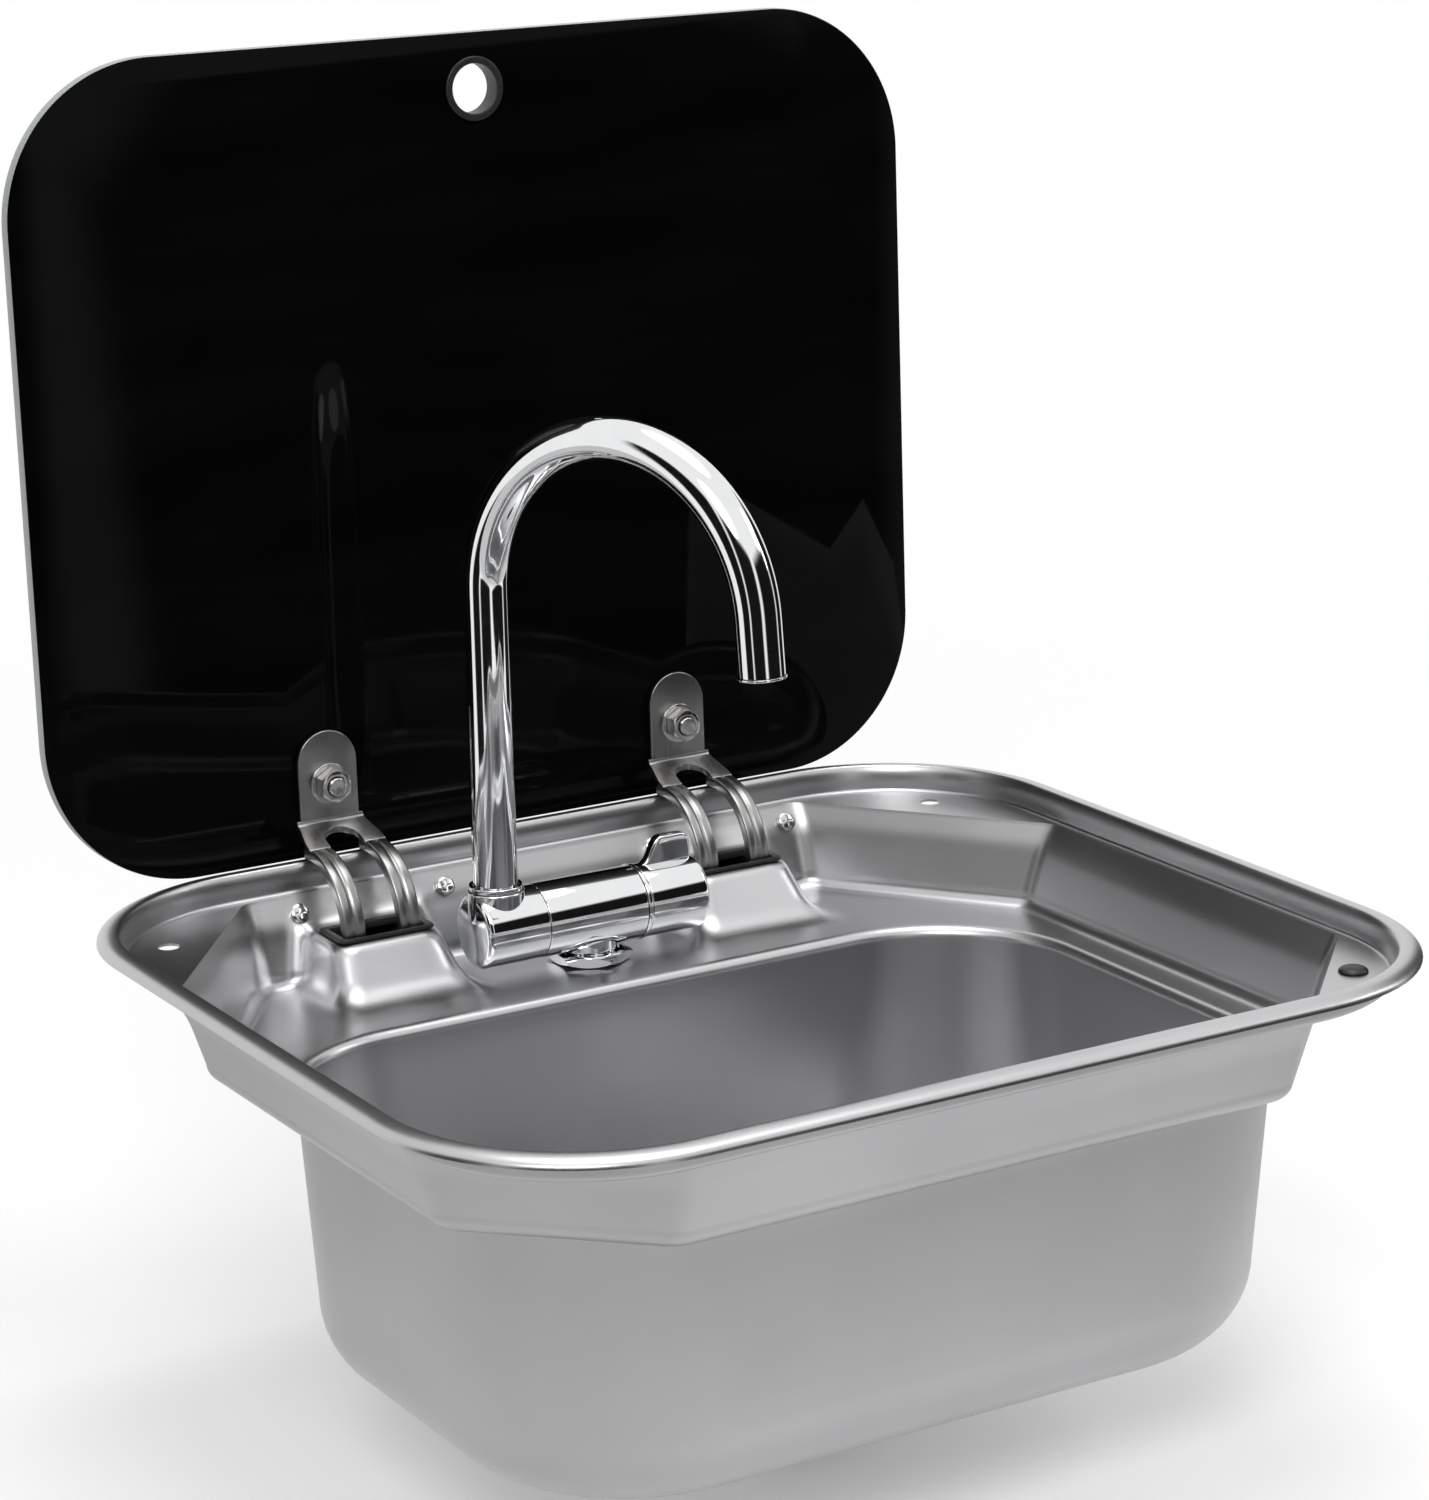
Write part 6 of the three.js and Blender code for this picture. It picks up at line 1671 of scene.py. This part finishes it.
knob = made("tap_knob", knob_shape(), TAP_PLACE)
paddle = made("thumb_paddle", paddle_shape(), TAP_PLACE, bevel=1.5, bevel_steps=5, sharp=FLOWING)
fitted(merged(knob, paddle), "tap_lever", "lever", CHROME)
print("knob and paddle")

# %% [markdown]
# The block at the left end of the bar folds forwards on the body's journal, and carries the spout in a
# round boss. Block and boss are turned about two different axes. The boss is turned as a ring, and a
# boolean drills the block, so that the pipe stands in one socket. A small collar covers their joint.

# %% Spout block
PIPE_X = -38.8
PIPE_RADIUS = 8.8
PIPE_SOCKET = 12  # how deep the pipe stands in the boss
SOCKET_RADIUS = PIPE_RADIUS + GAP
BOSS_WALL = 2.2
BOSS_TOP = TAP_RADIUS + 1
FOOT_COLLAR_WIDTH, FOOT_COLLAR_HEIGHT = 1.6, 2
SPOUT_FOOT = TAP_PLACE @ Matrix.Translation(Vector((PIPE_X, 0, 0)) * MM)


def block_piece():
    end = TAP_SEAM - GAP / 2
    edge = [
        (TAP_RADIUS - TAP_EDGE * (1 - math.sin(t)), TAP_LEFT + TAP_EDGE * (1 - math.cos(t)), 0)
        for t in [0, *quarter(8)]
    ]
    bore, bore_end = SPIGOT_RADIUS + GAP, end - SPIGOT_LENGTH - GAP
    inside = [(bore, end, 0), (bore, bore_end, 0), (0, bore_end)]
    barrel = turned([(0, TAP_LEFT), *edge, (TAP_RADIUS, end, TAP_EASE), *inside], "X", 0.3, segments=128)
    foot, outer = BOSS_TOP - PIPE_SOCKET, SOCKET_RADIUS + BOSS_WALL
    wall = [(SOCKET_RADIUS, foot), (outer, foot), (outer, BOSS_TOP, 0.7), (SOCKET_RADIUS, BOSS_TOP, 0.3)]
    block = made("spout_barrel", barrel, TAP_PLACE)
    worked(block, put(rod(SOCKET_RADIUS, foot, BOSS_TOP + 4, segments=96), SPOUT_FOOT))
    return merged(block, made("spout_boss", turned(wall, "Z", 0, ring=True), SPOUT_FOOT))


def foot_collar_shape():
    low, high = BOSS_TOP + GAP, BOSS_TOP + GAP + FOOT_COLLAR_HEIGHT
    outer = SOCKET_RADIUS + FOOT_COLLAR_WIDTH
    outline = [(SOCKET_RADIUS, low), (outer, low), (outer, high, 0.6), (SOCKET_RADIUS, high)]
    return turned(outline, ease=0.2, ring=True)


fitted(block_piece(), "spout_block", "spout_base", CHROME)
foot_collar = made("boss_collar", foot_collar_shape(), SPOUT_FOOT)
fitted(foot_collar, "spout_collar", "spout_base", CHROME)
print("spout block and collar, with a socket of", round(2 * SOCKET_RADIUS, 1), "mm")

# %% [markdown]
# The spout is a bent tube with a constant radius. It is one circle carried along the bend, and it has
# its real wall, so that the open end shows it. A curve with a round bevel is quicker to make, but it has
# no inside. A turned insert closes the end and spreads the water through a screen of rings and bars.

# %% Pipe and outlet
PIPE_WALL = 1.4
PIPE_BEND_Z = 115.7
PIPE_BEND_RADIUS = 65
PIPE_BEND_ANGLE = math.radians(176)
PIPE_DROP = 21  # the straight end after the bend
OUTLET_DEPTH = 9
OUTLET_BORE = 4.5
OUTLET_MOUTH = 5.4
OUTLET_LIP = 1
SCREEN_RINGS = (1.0, 2.2, 3.4)
SPOUT_TURN = math.radians(-68)
SPOUT_PLACE = SPOUT_FOOT @ Matrix.Rotation(SPOUT_TURN, 4, "Z")


def pipe_line():
    """Stations of the tube: a place and a direction, in the plane of the bend."""
    bend_z = PIPE_BEND_Z - TAP_AXIS_Z
    angles = np.linspace(0, PIPE_BEND_ANGLE, 61)
    stations = [(np.array((0, 0, BOSS_TOP - PIPE_SOCKET + GAP)), np.array((0, 0, 1)))]
    for angle in angles:
        out, up = PIPE_BEND_RADIUS * (1 - math.cos(angle)), PIPE_BEND_RADIUS * math.sin(angle)
        way = np.array((math.sin(angle), 0, math.cos(angle)))
        stations.append((np.array((out, 0, bend_z + up)), way))
    place, way = stations[-1]
    stations.append((place + way * PIPE_DROP, way))
    return stations


def pipe_shape():
    around = np.linspace(0, 2 * math.pi, 72, endpoint=False)[:, None]

    def ring(station, radius):
        place, way = station
        side, across = np.array((0, 1, 0)), np.cross((0, 1, 0), way)
        return place + radius * (np.cos(around) * side + np.sin(around) * across)

    line = pipe_line()
    outside = [ring(station, PIPE_RADIUS) for station in line]
    inside = [ring(station, PIPE_RADIUS - PIPE_WALL) for station in reversed(line)]
    return skinned(outside + inside, "joined")


def outlet_piece():
    stem, rim, lip = PIPE_RADIUS - PIPE_WALL - GAP, PIPE_RADIUS + 0.5, GAP + OUTLET_LIP
    sleeve = [(OUTLET_BORE, -OUTLET_DEPTH), (stem, -OUTLET_DEPTH), (stem, GAP, 0)]
    mouth = [(rim, GAP), (rim, lip, 0.5), (OUTLET_MOUTH, lip, 0.3), (OUTLET_BORE, 0)]
    shell = turned(sleeve + mouth, ease=0.2, ring=True)
    ribs = [flat_ring(radius + 0.45, radius, -1.2, -0.4, ease=0.1) for radius in SCREEN_RINGS]
    bars = []
    for a, b in ((4.6, 0.2), (0.2, 4.6)):
        bars.append(run_through([(-a, -b), (a, -b), (a, b), (-a, b)], in_plan, -1.6, -0.8))
    place, way = pipe_line()[-1]
    turn = Vector((0, 0, 1)).rotation_difference(Vector(way)).to_matrix().to_4x4()
    at_end = SPOUT_PLACE @ Matrix.Translation(Vector(place) * MM) @ turn
    return made("spout_insert", joined(shell, *ribs, *bars), at_end)


fitted(made("spout_tube", pipe_shape(), SPOUT_PLACE), "spout_pipe", "spout", CHROME)
fitted(outlet_piece(), "spout_outlet", "spout", CHROME)
print("spout of", len(pipe_line()), "stations")

# %% [markdown]
# The waste closes the bowl: a dished strainer in the seat, one screw down its middle into the plastic
# body clamped underneath, and a rubber plug with a pull. The strainer is turned, and its eight holes are
# drilled in a ring. The body is seen only from below, so its CAD node stays and gets a finish.

# %% Waste and plug
WASTE_WALL = 1.4
WASTE_CUP = 9  # depth of the strainer's cup
WASTE_LIP_INSET = 2  # from the edge of the seat
STRAINER_HOLES = 8
STRAINER_HOLE_RADIUS = 2.6
STRAINER_CIRCLE = 14
WASTE_SCREW_RADIUS = 2.5
WASTE_SCREW_HEAD = 2.5
WASTE_SCREW_FOOT = 7  # how far it reaches under the strainer, past one wall
DRIVER_HALF, DRIVER_SLOT = 6, 1
PLUG_DEPTH = 4.5
PLUG_DISC = 2.6
PLUG_PULL = (  # radius, height over the disc and ease of each corner of the knob
    (3.5, 0, 2),
    (3.5, 5.5, 0.8),
    (6, 6.7, 1),
    (6, 9.8, 1),
    (4.8, 11, 0.8),
    (0, 11, 0),
)
WASTE_SEAT_Z = -BOWL_DEPTH - BOWL_FALL - WASTE_SEAT_DROP
WASTE_LIP_TOP = WASTE_SEAT_Z + GAP + WASTE_WALL
CUP_RADIUS = WASTE_HOLE_RADIUS - GAP
WASTE_FLOOR = WASTE_LIP_TOP - WASTE_CUP
WASTE_PLACE = Matrix.Translation(Vector((0, BOWL_Y, 0)) * MM)


def strainer_piece():
    lip, inside = WASTE_SEAT_RADIUS - WASTE_LIP_INSET, CUP_RADIUS - WASTE_WALL
    under_lip, floor_top = WASTE_LIP_TOP - WASTE_WALL, WASTE_FLOOR + WASTE_WALL
    hole = WASTE_SCREW_RADIUS + GAP
    outside = [(hole, WASTE_FLOOR), (CUP_RADIUS, WASTE_FLOOR, 1), (CUP_RADIUS, under_lip), (lip, under_lip)]
    above = [(lip, WASTE_LIP_TOP, 0.8), (inside, WASTE_LIP_TOP, 0.8), (inside, floor_top, 1.2)]
    cup = turned(outside + above + [(hole, floor_top, 0.2)], ring=True, segments=128)
    strainer = made("waste_strainer", cup)
    drill = rod(STRAINER_HOLE_RADIUS, WASTE_FLOOR - 2, WASTE_FLOOR + 4, segments=32)
    angles = [(i + 0.5) / STRAINER_HOLES * 2 * math.pi for i in range(STRAINER_HOLES)]
    drills = [moved(drill, STRAINER_CIRCLE * math.cos(t), STRAINER_CIRCLE * math.sin(t)) for t in angles]
    worked(strainer, joined(*drills))
    strainer.data.transform(WASTE_PLACE)
    return strainer


def waste_screw_piece():
    seat, foot = WASTE_FLOOR + WASTE_WALL + GAP, WASTE_FLOOR - WASTE_WALL - WASTE_SCREW_FOOT
    head, top = 2 * WASTE_SCREW_RADIUS, seat + WASTE_SCREW_HEAD
    screw = made("strainer_screw", turned([
        (0, foot),
        (WASTE_SCREW_RADIUS, foot),
        (WASTE_SCREW_RADIUS, seat, 0),
        (head, seat),
        (head, seat + WASTE_SCREW_HEAD / 2, 0.5),
        (WASTE_SCREW_RADIUS, top, 1),
        (0, top),
    ], segments=64))
    a, b = DRIVER_HALF, DRIVER_SLOT / 2
    worked(screw, run_through([(-a, -b), (a, -b), (a, b), (-a, b)], in_plan, seat + 1.5, seat + 4))
    screw.data.transform(WASTE_PLACE)
    return screw


def plug_shape():
    seat, stem = WASTE_LIP_TOP + GAP, CUP_RADIUS - WASTE_WALL - GAP
    foot, top = seat - PLUG_DEPTH, seat + PLUG_DISC
    tapered = [(0, foot), (stem - 1.2, foot, 0.6), (stem, seat, 0.2)]
    disc = [(stem + 3, seat, 0.4), (stem + 1.8, top, 1.2)]
    pull = [(radius, top + height, ease) for radius, height, ease in PLUG_PULL]
    return turned(tapered + disc + pull)


fitted(strainer_piece(), "waste_flange", "sink", BASIN_STEEL)
fitted(waste_screw_piece(), "waste_screw", "sink", SCREW_STEEL)
fitted(made("rubber_plug", plug_shape(), WASTE_PLACE), "drain_plug", "plug", RUBBER)
refinished("waste_body", GREY_PLASTIC)
refinished("waste_gasket", RUBBER)
print("strainer with", STRAINER_HOLES, "holes, screw and plug")
